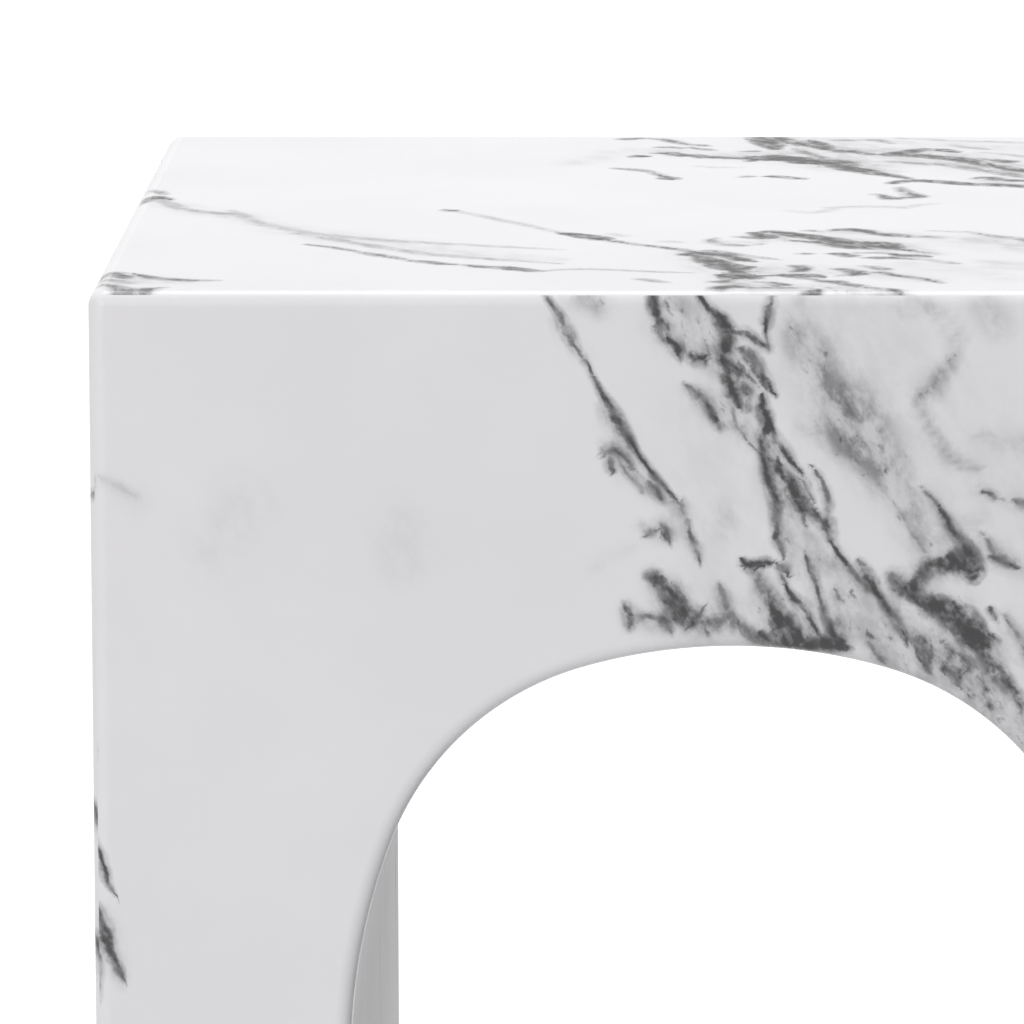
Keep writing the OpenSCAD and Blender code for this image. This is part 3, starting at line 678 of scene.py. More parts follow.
# %% Draw the smoke of the front
FRONT_SMOKE = (
    (0.80, ((627, 607, 13), (630, 615, 15), (628, 624, 12))),
    (0.70, ((699, 612, 12), (696, 621, 15), (701, 628, 11))),
    (0.60, ((647, 532, 9), (653, 530, 10))),
    (0.60, ((664, 526, 7), (668, 538, 8))),
    (0.45, ((690, 536, 9), (695, 549, 8))),
    (0.55, ((676, 584, 14), (682, 598, 20), (682, 612, 18))),
    (0.45, ((608, 446, 12), (612, 458, 13))),
    (0.35, ((628, 455, 12), (640, 475, 14))),
    (0.35, ((866, 640, 26), (892, 660, 34), (920, 676, 34))),
    (0.60, ((590, 294, 20), (600, 304, 18), (604, 316, 8))),
    (0.25, ((572, 297, 24), (585, 300, 20))),
    (0.55, ((560, 318, 10), (572, 338, 12), (585, 358, 8))),
    (0.75, ((604, 404, 8), (612, 420, 18), (620, 434, 18), (630, 444, 10))),
    (0.50, ((606, 440, 10), (618, 452, 22), (634, 470, 26), (652, 488, 20), (664, 500, 12))),
    (0.40, ((672, 500, 10), (684, 510, 16), (690, 530, 18), (697, 556, 12))),
    (0.40, ((640, 524, 10), (655, 530, 20), (672, 532, 18))),
    (0.30, ((660, 520, 14), (680, 510, 14))),
    (0.72, ((657, 300, 16), (660, 322, 22), (672, 338, 22), (680, 350, 14))),
    (0.60, ((676, 297, 34), (690, 312, 40), (706, 330, 38), (716, 345, 22))),
    (0.50, ((698, 350, 18), (712, 360, 24), (722, 372, 18))),
    (0.72, ((724, 345, 18), (738, 362, 30), (752, 380, 30), (760, 394, 16))),
    (0.65, ((690, 388, 12), (705, 398, 20), (716, 408, 22), (722, 424, 12))),
    (0.60, ((728, 396, 14), (734, 410, 18), (742, 428, 16), (754, 446, 10))),
    (0.45, ((748, 408, 16), (756, 424, 16), (758, 440, 10))),
    (0.95, ((765, 440, 10), (770, 458, 22), (778, 472, 32), (788, 486, 36), (796, 498, 24))),
    (0.50, ((776, 500, 14), (790, 512, 24), (800, 530, 26), (812, 548, 30), (828, 566, 26))),
    (0.40, ((780, 520, 16), (788, 545, 18), (796, 570, 18))),
    (0.52, ((793, 326, 22), (803, 342, 40), (815, 362, 48), (830, 384, 52), (842, 404, 54),
            (858, 428, 54))),
    (0.50, ((836, 400, 40), (852, 420, 50), (868, 444, 48), (880, 462, 40), (894, 482, 30),
            (908, 506, 20))),
    (0.55, ((862, 398, 14), (867, 412, 18), (874, 430, 18), (884, 450, 22), (892, 468, 20))),
    (0.12, ((800, 330, 40), (815, 370, 60), (850, 420, 70), (885, 470, 50))),
    (0.50, ((826, 392, 18), (838, 402, 22), (846, 412, 16))),
    (0.45, ((806, 424, 22), (830, 430, 32), (850, 440, 36))),
    (0.40, ((842, 446, 34), (864, 466, 40))),
    (0.40, ((880, 480, 26), (900, 505, 36), (922, 532, 40), (946, 556, 40))),
    (0.28, ((800, 300, 26), (792, 320, 20))),
    (0.45, ((790, 326, 16), (798, 340, 26), (810, 356, 28), (820, 372, 20))),
    (0.22, ((900, 500, 20), (912, 530, 30), (930, 550, 24))),
    (0.42, ((905, 305, 20), (925, 305, 16), (938, 318, 14), (951, 336, 16), (954, 346, 14), (948, 362, 14),
            (940, 370, 14))),
    (0.64, ((942, 360, 12), (936, 376, 20), (930, 388, 20), (918, 392, 14))),
    (0.44, ((916, 394, 12), (918, 410, 12), (926, 426, 12), (936, 438, 16), (944, 452, 16), (956, 462, 10),
            (975, 468, 8))),
    (0.32, ((980, 303, 30), (990, 318, 34), (995, 330, 20))),
    (0.28, ((975, 432, 10), (1000, 440, 20), (1015, 443, 24))),
    (0.30, ((912, 486, 10), (930, 500, 20), (944, 520, 26), (958, 540, 30))),
    (0.26, ((967, 514, 12), (975, 518, 14))),
    (0.30, ((990, 545, 20), (1005, 560, 16))),
    (0.26, ((722, 508, 24), (722, 522, 26))),
    (0.14, ((592, 567, 12), (610, 556, 16), (632, 547, 12))),
    (0.10, ((700, 420, 90), (725, 520, 110), (720, 600, 110))),
    (0.12, ((860, 320, 120), (930, 430, 150), (1000, 500, 140), (1100, 560, 120))),
    (0.80, ((650, 574, 14), (662, 588, 26), (672, 604, 34), (688, 618, 34), (706, 624, 24))),
    (0.55, ((632, 614, 18), (650, 620, 22), (664, 626, 18))),
    (0.45, ((716, 592, 18), (724, 604, 18))),
    (0.62, ((708, 624, 24), (728, 620, 26), (744, 632, 22), (760, 640, 14))),
    (0.85, ((756, 574, 12), (762, 590, 22), (770, 606, 30), (778, 624, 38), (786, 640, 40))),
    (0.80, ((770, 632, 24), (800, 640, 26), (836, 642, 24), (848, 650, 10))),
    (0.50, ((806, 560, 10), (812, 584, 14), (822, 610, 20), (834, 632, 26))),
    (0.42, ((836, 556, 14), (846, 582, 30), (858, 606, 40), (872, 630, 44), (890, 650, 36))),
    (0.50, ((836, 590, 14), (842, 604, 22), (838, 622, 24))),
    (0.50, ((860, 572, 12), (880, 598, 20), (900, 624, 24), (920, 655, 22))),
    (0.75, ((888, 574, 14), (905, 588, 26), (926, 604, 28))),
    (0.60, ((912, 570, 20), (935, 566, 26), (960, 560, 34))),
    (0.75, ((890, 620, 16), (910, 636, 30), (930, 648, 40), (948, 662, 48), (970, 682, 50), (1000, 712, 36),
            (1030, 750, 24), (1060, 790, 14))),
    (0.70, ((950, 610, 34), (972, 636, 42), (994, 668, 34))),
    (0.30, ((1004, 612, 14), (1020, 640, 24), (1034, 670, 20))),
    (0.40, ((1000, 560, 20), (1040, 570, 20), (1090, 610, 30), (1130, 660, 34), (1165, 740, 26))),
    (0.35, ((975, 488, 10), (1000, 497, 14), (1030, 508, 14))),
    (0.40, ((1100, 350, 26), (1160, 430, 34), (1210, 510, 34), (1260, 590, 20))),
    (0.10, ((250, 500, 60), (215, 545, 60))),
    (0.10, ((395, 520, 60), (410, 560, 60))),
    (0.08, ((105, 480, 20), (140, 500, 30))),
    (0.60, ((100, 915, 12), (106, 945, 26), (120, 985, 12))),
    (0.35, ((1350, 1040, 24), (1310, 1120, 36), (1270, 1230, 24))),
    (0.35, ((110, 1110, 20), (145, 1190, 30), (185, 1270, 20))))

print("stains on the front:", len(FRONT_SMOKE))

# %% Say where flecks gather on the front
FRONT_SPOTS = (
    (0.60, ((662, 300, 14), (672, 325, 20), (690, 340, 20), (706, 336, 16))),
    (0.50, ((724, 350, 16), (742, 380, 22))),
    (0.50, ((700, 398, 14), (716, 414, 12))),
    (0.70, ((772, 460, 18), (792, 490, 26), (806, 505, 14))),
    (0.25, ((834, 402, 12), (840, 404, 12))),
    (0.60, ((656, 580, 16), (672, 602, 26), (692, 618, 20))),
    (0.80, ((768, 600, 16), (784, 626, 30), (800, 640, 22))),
    (0.70, ((830, 640, 22), (842, 646, 14))),
    (0.60, ((905, 590, 20), (930, 604, 22))),
    (0.60, ((952, 612, 26), (980, 640, 26))),
    (0.42, ((905, 636, 18), (935, 655, 30), (960, 675, 34), (1000, 706, 24))),
    (0.20, ((846, 600, 20), (870, 640, 24))))

print("flecked places on the front:", len(FRONT_SPOTS))

# %% [markdown]
# The top is seen at a flat angle, so a picture place is carried back to the top with the perspective
# of the camera, and the widths are given in millimetres of the real surface. Places could be measured
# on the real top instead, but in the picture each one can be checked against the photograph.

# %% Draw the veins of the top
HORIZON, NEAR_EDGE, MIDDLE = -926.7, 289.3, 733.3
PIXELS_PER_MM = 2.8458
EDGE_AWAY = 3073.8


def on_top(x, y):
    """A place in the picture carried to (across, back) on the top in mm. How many times further away it
    is than the near edge, which lies EDGE_AWAY mm off, is the near edge's depth below the horizon over
    its own depth below it. A pixel, 1 / PIXELS_PER_MM at the near edge, grows in the same measure."""
    further = (NEAR_EDGE - HORIZON) / (y - HORIZON)
    return (x - MIDDLE) * further / PIXELS_PER_MM, EDGE_AWAY * (further - 1) - HALF / MM


TOP_SCALE = 1.0
TOP_VEINS = (
    # The long vein across the left of the top, and the marks at its left corner.
    (0.72, ((150, 201, 4), (156, 196, 8), (163, 195, 10), (172, 197, 5), (178, 199, 2))),
    (0.45, ((154, 188, 4), (162, 190, 8), (170, 193, 4))),
    (0.30, ((165, 197, 6), (175, 203, 8), (190, 208, 8), (226, 213, 8), (241, 212, 6))),
    (0.25, ((236, 209, 5), (252, 216, 7), (270, 224, 8), (291, 228, 8), (320, 233, 9), (364, 237, 9),
            (423, 241, 8), (481, 244, 8), (560, 248, 4))),
    (0.30, ((300, 232, 4), (340, 238, 8), (390, 247, 8), (440, 254, 8), (500, 258, 6), (560, 262, 3))),
    (0.62, ((312, 243, 3), (330, 245, 5), (349, 248, 5), (361, 250, 3))),
    (0.72, ((364, 251, 4), (378, 253, 7), (396, 256, 6), (408, 258, 4))),
    (0.72, ((411, 259, 4), (425, 260, 7), (442, 262, 7), (458, 263, 4))),
    (0.80, ((463, 263, 3), (481, 265, 7), (500, 266, 7), (511, 268, 5))),
    (0.80, ((508, 265, 4), (522, 268, 9), (532, 269, 8), (545, 269, 3))),
    (0.30, ((540, 270, 3), (570, 267, 5), (610, 268, 5), (650, 270, 5), (690, 271, 3))),
    (0.72, ((104, 276, 4), (112, 272, 9), (122, 272, 10), (130, 276, 9), (140, 275, 5))),
    (0.72, ((138, 272, 3), (150, 275, 7), (160, 277, 9), (176, 278, 7), (197, 279, 6), (222, 279, 3))),
    (0.66, ((106, 282, 4), (116, 284, 8), (128, 288, 11), (146, 288, 8), (158, 287, 6), (170, 286, 3))),
    (0.55, ((112, 278, 5), (124, 280, 8), (136, 282, 5))),
    # The vein from the middle of the top to the near edge.
    (0.75, ((446, 208, 2), (452, 209, 8), (458, 209, 3))),
    (0.28, ((454, 209, 4), (478, 213, 5), (498, 218, 6), (511, 220, 6), (530, 224, 5), (560, 231, 5))),
    (0.95, ((560, 231, 3), (567, 232, 7), (576, 233, 9), (588, 235, 14), (600, 237, 13), (606, 238, 7))),
    (0.72, ((602, 238, 5), (617, 240, 6), (635, 243, 5), (648, 244, 4), (665, 246, 5), (680, 248, 6),
            (692, 250, 6))),
    (0.18, ((610, 232, 5), (622, 234, 7), (630, 234, 3))),
    (0.18, ((660, 240, 4), (672, 240, 7), (682, 241, 3))),
    (0.88, ((681, 253, 4), (689, 253, 12), (700, 252, 14), (709, 252, 9), (725, 254, 8), (740, 258, 10),
            (753, 260, 4))),
    (0.90, ((694, 254, 6), (701, 256, 10), (710, 260, 14), (722, 264, 17), (732, 267, 16), (740, 266, 9),
            (750, 265, 4))),
    (0.55, ((700, 249, 4), (712, 249, 6), (735, 253, 6), (760, 256, 4), (778, 258, 2))),
    (0.90, ((733, 266, 6), (738, 271, 10), (741, 276, 15), (733, 276, 15), (725, 275, 8), (718, 273, 4))),
    (0.80, ((740, 276, 8), (747, 276, 12), (757, 274, 5), (775, 274, 5), (783, 273, 5))),
    (0.90, ((780, 274, 5), (792, 274, 13), (806, 274, 13), (815, 275, 7), (822, 276, 3))),
    (0.55, ((798, 277, 4), (812, 277, 5), (824, 280, 8))),
    (0.80, ((820, 279, 4), (832, 280, 10), (842, 282, 6), (855, 284, 8), (864, 286, 4), (885, 287, 4),
            (905, 289, 3))),
    (0.82, ((755, 280, 4), (767, 281, 7), (776, 283, 9), (785, 283, 4))),
    (0.60, ((710, 280, 5), (720, 280, 8), (728, 278, 4))),
    (0.82, ((710, 287, 4), (719, 286, 10), (730, 285, 8), (742, 285, 4))),
    (0.66, ((730, 290, 5), (738, 290, 7), (748, 290, 4))),
    (0.40, ((748, 286, 4), (765, 286, 5), (790, 286, 4), (815, 287, 3))),
    (0.88, ((762, 290, 5), (770, 291, 9), (780, 290, 4))),
    (0.80, ((795, 291, 4), (804, 290, 9), (813, 288, 6))),
    (0.80, ((815, 292, 4), (828, 292, 10), (842, 291, 5))),
    (0.60, ((876, 289, 3), (890, 290, 7), (906, 290, 3))),
    (0.40, ((852, 291, 4), (866, 291, 4))),
    # The broken vein along the right half.
    (0.92, ((750, 231, 5), (757, 232, 11), (763, 235, 11), (770, 236, 5))),
    (0.92, ((760, 231, 6), (768, 230, 10), (780, 231, 9), (792, 233, 12), (806, 235, 15), (822, 237, 15),
            (838, 240, 13), (850, 242, 18), (862, 243, 26), (874, 243, 24), (884, 245, 15), (893, 247, 7),
            (907, 249, 5), (922, 251, 3))),
    (0.66, ((736, 235, 4), (750, 236, 7), (762, 237, 4))),
    (0.75, ((788, 239, 4), (804, 240, 7), (822, 241, 8), (837, 244, 10), (852, 246, 10), (866, 247, 5))),
    (0.42, ((716, 236, 3), (709, 238, 5), (711, 241, 6), (722, 243, 6), (736, 244, 6), (752, 243, 5),
            (762, 242, 3))),
    (0.55, ((802, 229, 4), (808, 229, 7), (816, 230, 3))),
    (0.75, ((826, 229, 5), (836, 228, 9), (848, 228, 10), (860, 229, 9), (872, 232, 7), (886, 233, 11),
            (898, 234, 9), (906, 235, 5))),
    (0.42, ((904, 235, 5), (920, 235, 6), (940, 236, 4))),
    (0.24, ((925, 229, 4), (945, 230, 6), (965, 230, 6), (982, 234, 6))),
    (0.48, ((975, 232, 4), (990, 235, 7), (1005, 236, 7), (1020, 238, 11), (1040, 241, 11), (1070, 247, 8),
            (1100, 256, 4))),
    (0.60, ((797, 252, 4), (803, 252, 6), (810, 252, 3))),
    (0.75, ((827, 252, 4), (836, 252, 8), (845, 254, 10), (853, 254, 4))),
    (0.42, ((852, 251, 4), (872, 251, 5), (890, 252, 5))),
    (0.82, ((888, 252, 4), (900, 254, 9), (912, 254, 10), (923, 255, 4))),
    (0.80, ((864, 256, 5), (876, 256, 9), (890, 256, 8), (906, 257, 3))),
    (0.38, ((905, 257, 4), (925, 258, 6), (945, 261, 7), (955, 262, 3))),
    (0.80, ((789, 264, 3), (795, 264, 7), (802, 266, 8), (799, 269, 6), (791, 270, 3))),
    (0.82, ((833, 267, 4), (843, 268, 7), (852, 270, 10), (858, 272, 7), (848, 273, 7), (836, 274, 3))),
    (0.55, ((858, 264, 3), (868, 265, 6), (878, 267, 8), (886, 268, 3))),
    (0.66, ((866, 271, 4), (876, 271, 8), (887, 273, 7), (902, 275, 5), (920, 277, 5), (937, 281, 3))),
    # The veins along the rear edge, and the small ones before them.
    (0.66, ((619, 138, 4), (626, 138, 8), (640, 137, 4), (660, 138, 5), (670, 140, 8), (685, 143, 6),
            (698, 144, 7), (706, 145, 3))),
    (0.50, ((655, 146, 4), (668, 146, 8), (680, 147, 5))),
    (0.48, ((688, 146, 4), (702, 148, 8), (712, 149, 4))),
    (0.80, ((655, 152, 5), (668, 152, 11), (680, 154, 12), (692, 154, 8), (702, 156, 9), (716, 156, 8),
            (735, 157, 7), (752, 158, 5))),
    (0.90, ((632, 156, 4), (638, 155, 10), (646, 155, 5))),
    (0.66, ((615, 167, 4), (630, 168, 7), (641, 169, 8), (651, 171, 4), (660, 174, 5))),
    (0.90, ((660, 174, 3), (668, 177, 11), (673, 178, 4))),
    (0.92, ((752, 134, 8), (757, 138, 14), (763, 141, 16), (768, 144, 15), (773, 148, 5))),
    (0.82, ((772, 134, 6), (779, 139, 11), (790, 141, 13), (802, 143, 12), (813, 146, 4))),
    (0.80, ((806, 139, 4), (811, 141, 8), (816, 144, 12), (822, 148, 7), (832, 149, 7), (842, 150, 12),
            (853, 151, 8), (866, 153, 5))),
    (0.55, ((740, 150, 4), (750, 150, 6), (760, 150, 3))),
    (0.50, ((794, 148, 4), (802, 151, 7), (812, 154, 6), (820, 157, 4))),
    (0.80, ((748, 160, 5), (757, 156, 16), (768, 156, 22), (778, 157, 24))),
    (0.95, ((768, 158, 12), (780, 157, 22), (790, 158, 24), (799, 161, 15))),
    (0.90, ((798, 160, 10), (812, 160, 18), (825, 161, 27), (834, 163, 22), (842, 167, 14), (856, 169, 14),
            (870, 172, 11), (886, 174, 9), (903, 177, 4))),
    (0.88, ((887, 182, 5), (895, 180, 12), (904, 179, 8), (920, 179, 9), (935, 180, 13), (950, 182, 11),
            (970, 183, 9), (985, 183, 13), (1005, 184, 13), (1024, 185, 11), (1060, 188, 10),
            (1100, 191, 7), (1140, 196, 3))),
    (0.80, ((969, 177, 4), (976, 176, 9), (987, 176, 10), (996, 179, 9), (1010, 179, 8), (1030, 179, 8),
            (1060, 182, 4))),
    (0.82, ((878, 153, 5), (890, 152, 11), (900, 151, 12), (910, 149, 9), (920, 148, 9), (935, 149, 14),
            (946, 150, 8), (952, 151, 3))),
    (0.82, ((884, 154, 6), (900, 153, 15), (918, 155, 13), (935, 156, 15), (950, 157, 14), (962, 160, 15),
            (972, 162, 8), (988, 165, 9), (1005, 168, 9), (1024, 170, 12), (1060, 175, 9), (1100, 184, 4))),
    (0.70, ((974, 157, 3), (986, 158, 6), (1000, 160, 11), (1010, 160, 4))),
    (0.42, ((880, 160, 6), (910, 162, 12), (936, 163, 10), (966, 167, 12), (986, 170, 12), (1010, 174, 14),
            (1040, 178, 8))),
    (0.40, ((832, 139, 5), (852, 139, 6), (872, 139, 9), (886, 142, 4))),
    (0.26, ((890, 137, 5), (920, 138, 6), (950, 140, 7), (985, 140, 7), (1024, 142, 8), (1070, 146, 6))),
    (0.30, ((945, 144, 4), (962, 146, 8), (980, 148, 5))),
    (0.25, ((975, 151, 5), (1000, 153, 7), (1040, 158, 7))),
    (0.66, ((894, 186, 4), (900, 190, 6), (907, 193, 10), (915, 195, 8), (908, 196, 6), (897, 196, 5))),
    (0.70, ((878, 194, 4), (886, 197, 10), (895, 197, 6), (900, 197, 3))),
    (0.35, ((868, 193, 3), (875, 193, 6), (880, 195, 3))),
    (0.45, ((737, 176, 3), (744, 175, 7), (752, 175, 3))),
    (0.75, ((763, 175, 4), (772, 175, 8), (785, 176, 8), (795, 177, 8), (800, 178, 3))),
    (0.16, ((696, 165, 5), (712, 166, 7), (738, 166, 4))),
    (0.16, ((786, 209, 6), (812, 212, 8), (830, 207, 7))),
    (0.20, ((826, 206, 6), (850, 205, 8), (880, 205, 8), (900, 206, 7), (915, 203, 6), (932, 202, 4))),
    (0.42, ((634, 277, 3), (645, 278, 7), (657, 280, 6), (668, 281, 3))),
    # Past the picture: the right end of the top.
    (0.70, ((1060, 215, 3), (1110, 225, 8), (1160, 240, 12), (1210, 262, 8), (1290, 285, 3))),
    (0.75, ((1040, 150, 3), (1080, 154, 8), (1130, 160, 12), (1190, 176, 10), (1240, 200, 8),
            (1280, 240, 4))),
    (0.60, ((1130, 160, 4), (1170, 158, 8), (1210, 164, 8), (1260, 160, 4))))

print("veins on the top:", len(TOP_VEINS))

# %% Draw the smoke and the flecked places of the top
TOP_SMOKE = (
    (0.16, ((572, 163, 14), (590, 158, 18), (612, 151, 18), (640, 148, 12))),
    (0.50, ((748, 156, 18), (775, 154, 40), (810, 156, 44), (840, 162, 34), (870, 170, 18))),
    (0.40, ((762, 136, 18), (800, 142, 28), (850, 148, 26), (900, 152, 34), (950, 158, 36), (1000, 166, 36),
            (1040, 172, 26), (1100, 184, 14))),
    (0.20, ((820, 137, 14), (880, 140, 20), (940, 142, 20), (1024, 148, 24), (1080, 152, 14))),
    (0.35, ((980, 178, 12), (1010, 181, 18), (1050, 184, 14))),
    (0.30, ((655, 150, 14), (690, 152, 20), (730, 156, 12))),
    (0.36, ((690, 252, 14), (712, 257, 24), (735, 266, 30), (745, 277, 24), (735, 286, 16))),
    (0.24, ((750, 270, 20), (790, 268, 26), (840, 270, 28), (880, 272, 22), (920, 278, 14))),
    (0.30, ((740, 284, 16), (790, 286, 20), (840, 287, 20), (900, 290, 12))),
    (0.45, ((755, 234, 12), (790, 236, 18), (830, 240, 24), (870, 243, 30), (900, 248, 18), (930, 252, 8))),
    (0.30, ((830, 230, 12), (880, 232, 16), (920, 236, 12), (970, 236, 16), (1024, 242, 24),
            (1070, 248, 14))),
    (0.22, ((960, 240, 14), (1000, 246, 24), (1040, 250, 20))),
    (0.26, ((985, 260, 12), (1005, 264, 20), (1024, 266, 14))),
    (0.14, ((900, 262, 18), (950, 268, 20), (1000, 276, 18))),
    (0.30, ((712, 240, 10), (735, 242, 12), (760, 240, 8))),
    (0.26, ((150, 196, 10), (175, 203, 14), (200, 210, 16), (240, 214, 14))),
    (0.22, ((240, 214, 12), (290, 228, 18), (340, 236, 26), (400, 244, 28), (460, 252, 26), (520, 256, 16),
            (560, 258, 8))),
    (0.30, ((108, 275, 14), (150, 280, 18), (200, 280, 8))),
    (0.20, ((1060, 216, 10), (1120, 230, 26), (1170, 246, 24), (1220, 264, 12))))

TOP_SPOTS = (
    (0.45, ((760, 140, 12), (800, 146, 14), (840, 150, 10))),
    (0.55, ((764, 157, 18), (830, 162, 22), (860, 169, 12))),
    (0.45, ((895, 153, 12), (960, 158, 16), (1020, 170, 12))),
    (0.45, ((705, 256, 12), (735, 268, 18), (740, 277, 14))),
    (0.45, ((770, 233, 10), (820, 238, 14), (875, 244, 20))),
    (0.35, ((780, 284, 10), (850, 286, 10))))

print("stains on the top:", len(TOP_SMOKE), "and flecked places:", len(TOP_SPOTS))

# %% [markdown]
# The photograph shows nothing of the sides but the marks that run round the left arris. So the sides
# get veins of the same kind, drawn on a sheet of their own in mm from its upper rear corner, which meet
# those marks. The right side uses the same sheet turned upside down, so that the two don't look alike.

# %% Draw the veins of the sides
def on_side(x, y):
    """A place on the side, x from the rear arris and y down from the top in mm, carried to (across, up)
    with the middle of the side at 0."""
    return x - HALF / MM, TOP / MM - y


SIDE_SCALE = 1.0
SIDE_VEINS = (
    (0.90, ((455, 192, 3), (444, 182, 3), (430, 172, 4), (412, 160, 3), (384, 150, 3), (352, 132, 4),
            (318, 120, 3), (276, 96, 3), (244, 80, 2), (206, 50, 3), (172, 28, 2), (146, -4, 1))),
    (0.85, ((455, 238, 4), (440, 226, 4), (418, 216, 3), (388, 206, 4), (352, 196, 3), (322, 198, 2),
            (290, 186, 2), (250, 180, 1))),
    (0.72, ((392, 206, 1), (372, 230, 2), (344, 252, 3), (322, 282, 2), (284, 302, 3), (262, 340, 2),
            (224, 372, 2), (204, 412, 2), (164, 432, 2), (150, 476, 1))),
    (0.80, ((352, 132, 2), (330, 146, 2), (300, 164, 2), (272, 172, 4), (236, 196, 4), (202, 212, 3),
            (154, 246, 3), (122, 262, 2), (82, 296, 3), (40, 312, 2), (-4, 338, 2))),
    (0.66, ((276, 96, 1), (262, 118, 2), (240, 138, 3), (226, 170, 2), (236, 196, 1))),
    (0.55, ((62, -4, 2), (80, 32, 3), (74, 62, 2), (100, 92, 2), (94, 124, 1))),
    (0.60, ((455, 70, 2), (436, 76, 2), (414, 92, 1))),
    (0.45, ((455, 328, 2), (430, 340, 2), (412, 366, 1))),
    (0.70, ((202, 212, 1), (190, 240, 2), (160, 262, 2), (150, 300, 2), (120, 330, 2), (110, 372, 1))),
    (0.50, ((20, 404, 1), (52, 420, 2), (70, 452, 2), (96, 470, 2), (104, 504, 1))),
    (0.66, ((344, 252, 1), (360, 280, 2), (352, 312, 2), (376, 350, 2), (384, 402, 1))))
SIDE_SMOKE = (
    (0.70, ((455, 190, 6), (430, 180, 12), (392, 166, 16), (350, 146, 18), (300, 128, 14), (262, 104, 10),
            (206, 52, 5))),
    (0.75, ((455, 238, 12), (420, 218, 16), (386, 208, 14), (350, 200, 9), (300, 190, 6))),
    (0.60, ((290, 166, 8), (262, 178, 18), (226, 200, 22), (192, 224, 18), (150, 250, 12), (96, 284, 9),
            (40, 312, 6))),
    (0.40, ((350, 246, 8), (318, 282, 12), (276, 316, 12), (240, 356, 8))),
    (0.30, ((80, 20, 10), (84, 60, 14), (96, 100, 8))),
    (0.12, ((320, 60, 50), (180, 130, 60), (120, 220, 60))),
    (0.12, ((300, 380, 50), (200, 440, 60))))
SIDE_SPOTS = (
    (0.60, ((440, 228, 8), (400, 212, 8))),
    (0.60, ((262, 176, 10), (226, 200, 12), (196, 222, 8))),
    (0.50, ((372, 154, 8), (340, 136, 8))))

print("veins on a side:", len(SIDE_VEINS))

# %% [markdown]
# A grown vein has no corners, so strokes with long straight runs get their corners cut off twice. A
# spline would round them too, but it would also swing out where a stroke turns back on itself.

# %% Round the strokes and bring them to millimetres
LONG_RUN, WORTH_EASING = 9.0, 14.0


def segments(rows):
    """The straight runs of one stroke: the point that each starts from and the one it goes to."""
    return zip(rows[:-1], rows[1:])


def eased(rows):
    """The stroke with every corner between long runs cut off: each run over LONG_RUN mm keeps its middle
    half, so two points a quarter of the way in from its ends take the place of the corners. A shorter
    run keeps its middle point."""
    made = [rows[0]]
    for start, end in segments(rows):
        if np.hypot(*(end - start)[:2]) > LONG_RUN:
            made += [0.75 * start + 0.25 * end, 0.25 * start + 0.75 * end]
        else:
            made.append(0.5 * (start + end))
    return np.array(made + [rows[-1]])


def carried(strokes, place, scale):
    """The strokes in mm: each becomes its strength and rows of (across, up, half width)."""
    made = []
    for strength, points in strokes:
        rows = np.array([(*place(x, y), 0.5 * scale * width) for x, y, width in points])
        longest = np.hypot(*np.diff(rows[:, :2], axis=0).T).max()
        made.append((strength, eased(eased(rows)) if longest > WORTH_EASING else rows))
    return made


def sheet_of(place, scale, veins, smoke, spots, thin=1.0):
    """A sheet in mm. Thin narrows the veins, since the soft edge that the material adds widens them."""
    return carried(veins, place, scale * thin), carried(smoke, place, scale), carried(spots, place, scale)


FRONT_SHEET = sheet_of(on_front, FRONT_SCALE, FRONT_VEINS, FRONT_SMOKE, FRONT_SPOTS, thin=0.78)
TOP_SHEET = sheet_of(on_top, TOP_SCALE, TOP_VEINS, TOP_SMOKE, TOP_SPOTS, thin=0.6)
SIDE_SHEET = sheet_of(on_side, SIDE_SCALE, SIDE_VEINS, SIDE_SMOKE, SIDE_SPOTS)
for sheet in (FRONT_SHEET, TOP_SHEET, SIDE_SHEET):
    print("points along its veins:", sum(len(rows) for _, rows in sheet[0]))

# %% [markdown]
# The nearest vein alone isn't enough: where two veins meet, the distance jumps from one to the other
# and the mesh, whose points are a few millimetres apart, would show the jump as a saw-tooth. So the
# veins are dealt out to a few layers in which they lie far apart, and the material lays these layers
# over each other. A finer mesh would help as well, but it would cost far more points.

# %% Deal the veins out to layers
LAYERS = 6


def run_points(rows):
    """Places along a stroke, close enough to measure how near two strokes come: six on each run."""
    shares = np.linspace(0, 1, 6)[:, None, None]
    return ((1 - shares) * rows[None, :-1, :2] + shares * rows[None, 1:, :2]).reshape(-1, 2)


def share_out(strokes):
    """Deals the veins out to LAYERS layers, each vein to the layer whose veins are furthest from it, so
    that within a layer two veins seldom come close and their distances don't mix."""
    layers = [[] for _ in range(LAYERS)]
    for stroke in strokes:
        own = run_points(stroke[1])
        gaps = []
        for layer in layers:
            if layer:
                others = np.concatenate([run_points(other[1]) for other in layer])
                gaps.append(np.linalg.norm(own[:, None] - others[None], axis=-1).min())
            else:
                gaps.append(np.inf)
        layers[int(np.argmax(gaps))].append(stroke)
    return layers


print("front veins in each layer:", [len(layer) for layer in share_out(FRONT_SHEET[0])])

# %% [markdown]
# Each vein leaves three numbers on the mesh, and the smoke and the spots one each. They vary slowly
# from point to point, so the material can work with them between the points as well.

# %% Work out how far each point is from the veins
FAR_AWAY = 30.0
THIN = 1.3
NO_LENGTH = 1e-9


def near_to(points, start, end):
    """For all points: the distance from the nearest place on the run, the half width there, and the side
    of the run that the point is on, as plus or minus one."""
    run = end[:2] - start[:2]
    share = np.clip((points - start[:2]) @ run / max(run @ run, NO_LENGTH), 0, 1)
    off = points - start[:2] - share[:, None] * run
    half = start[2] + share * (end[2] - start[2])
    sign = np.where(run[0] * off[:, 1] - run[1] * off[:, 0] >= 0, 1.0, -1.0)
    return np.hypot(off[:, 0], off[:, 1]), half, sign


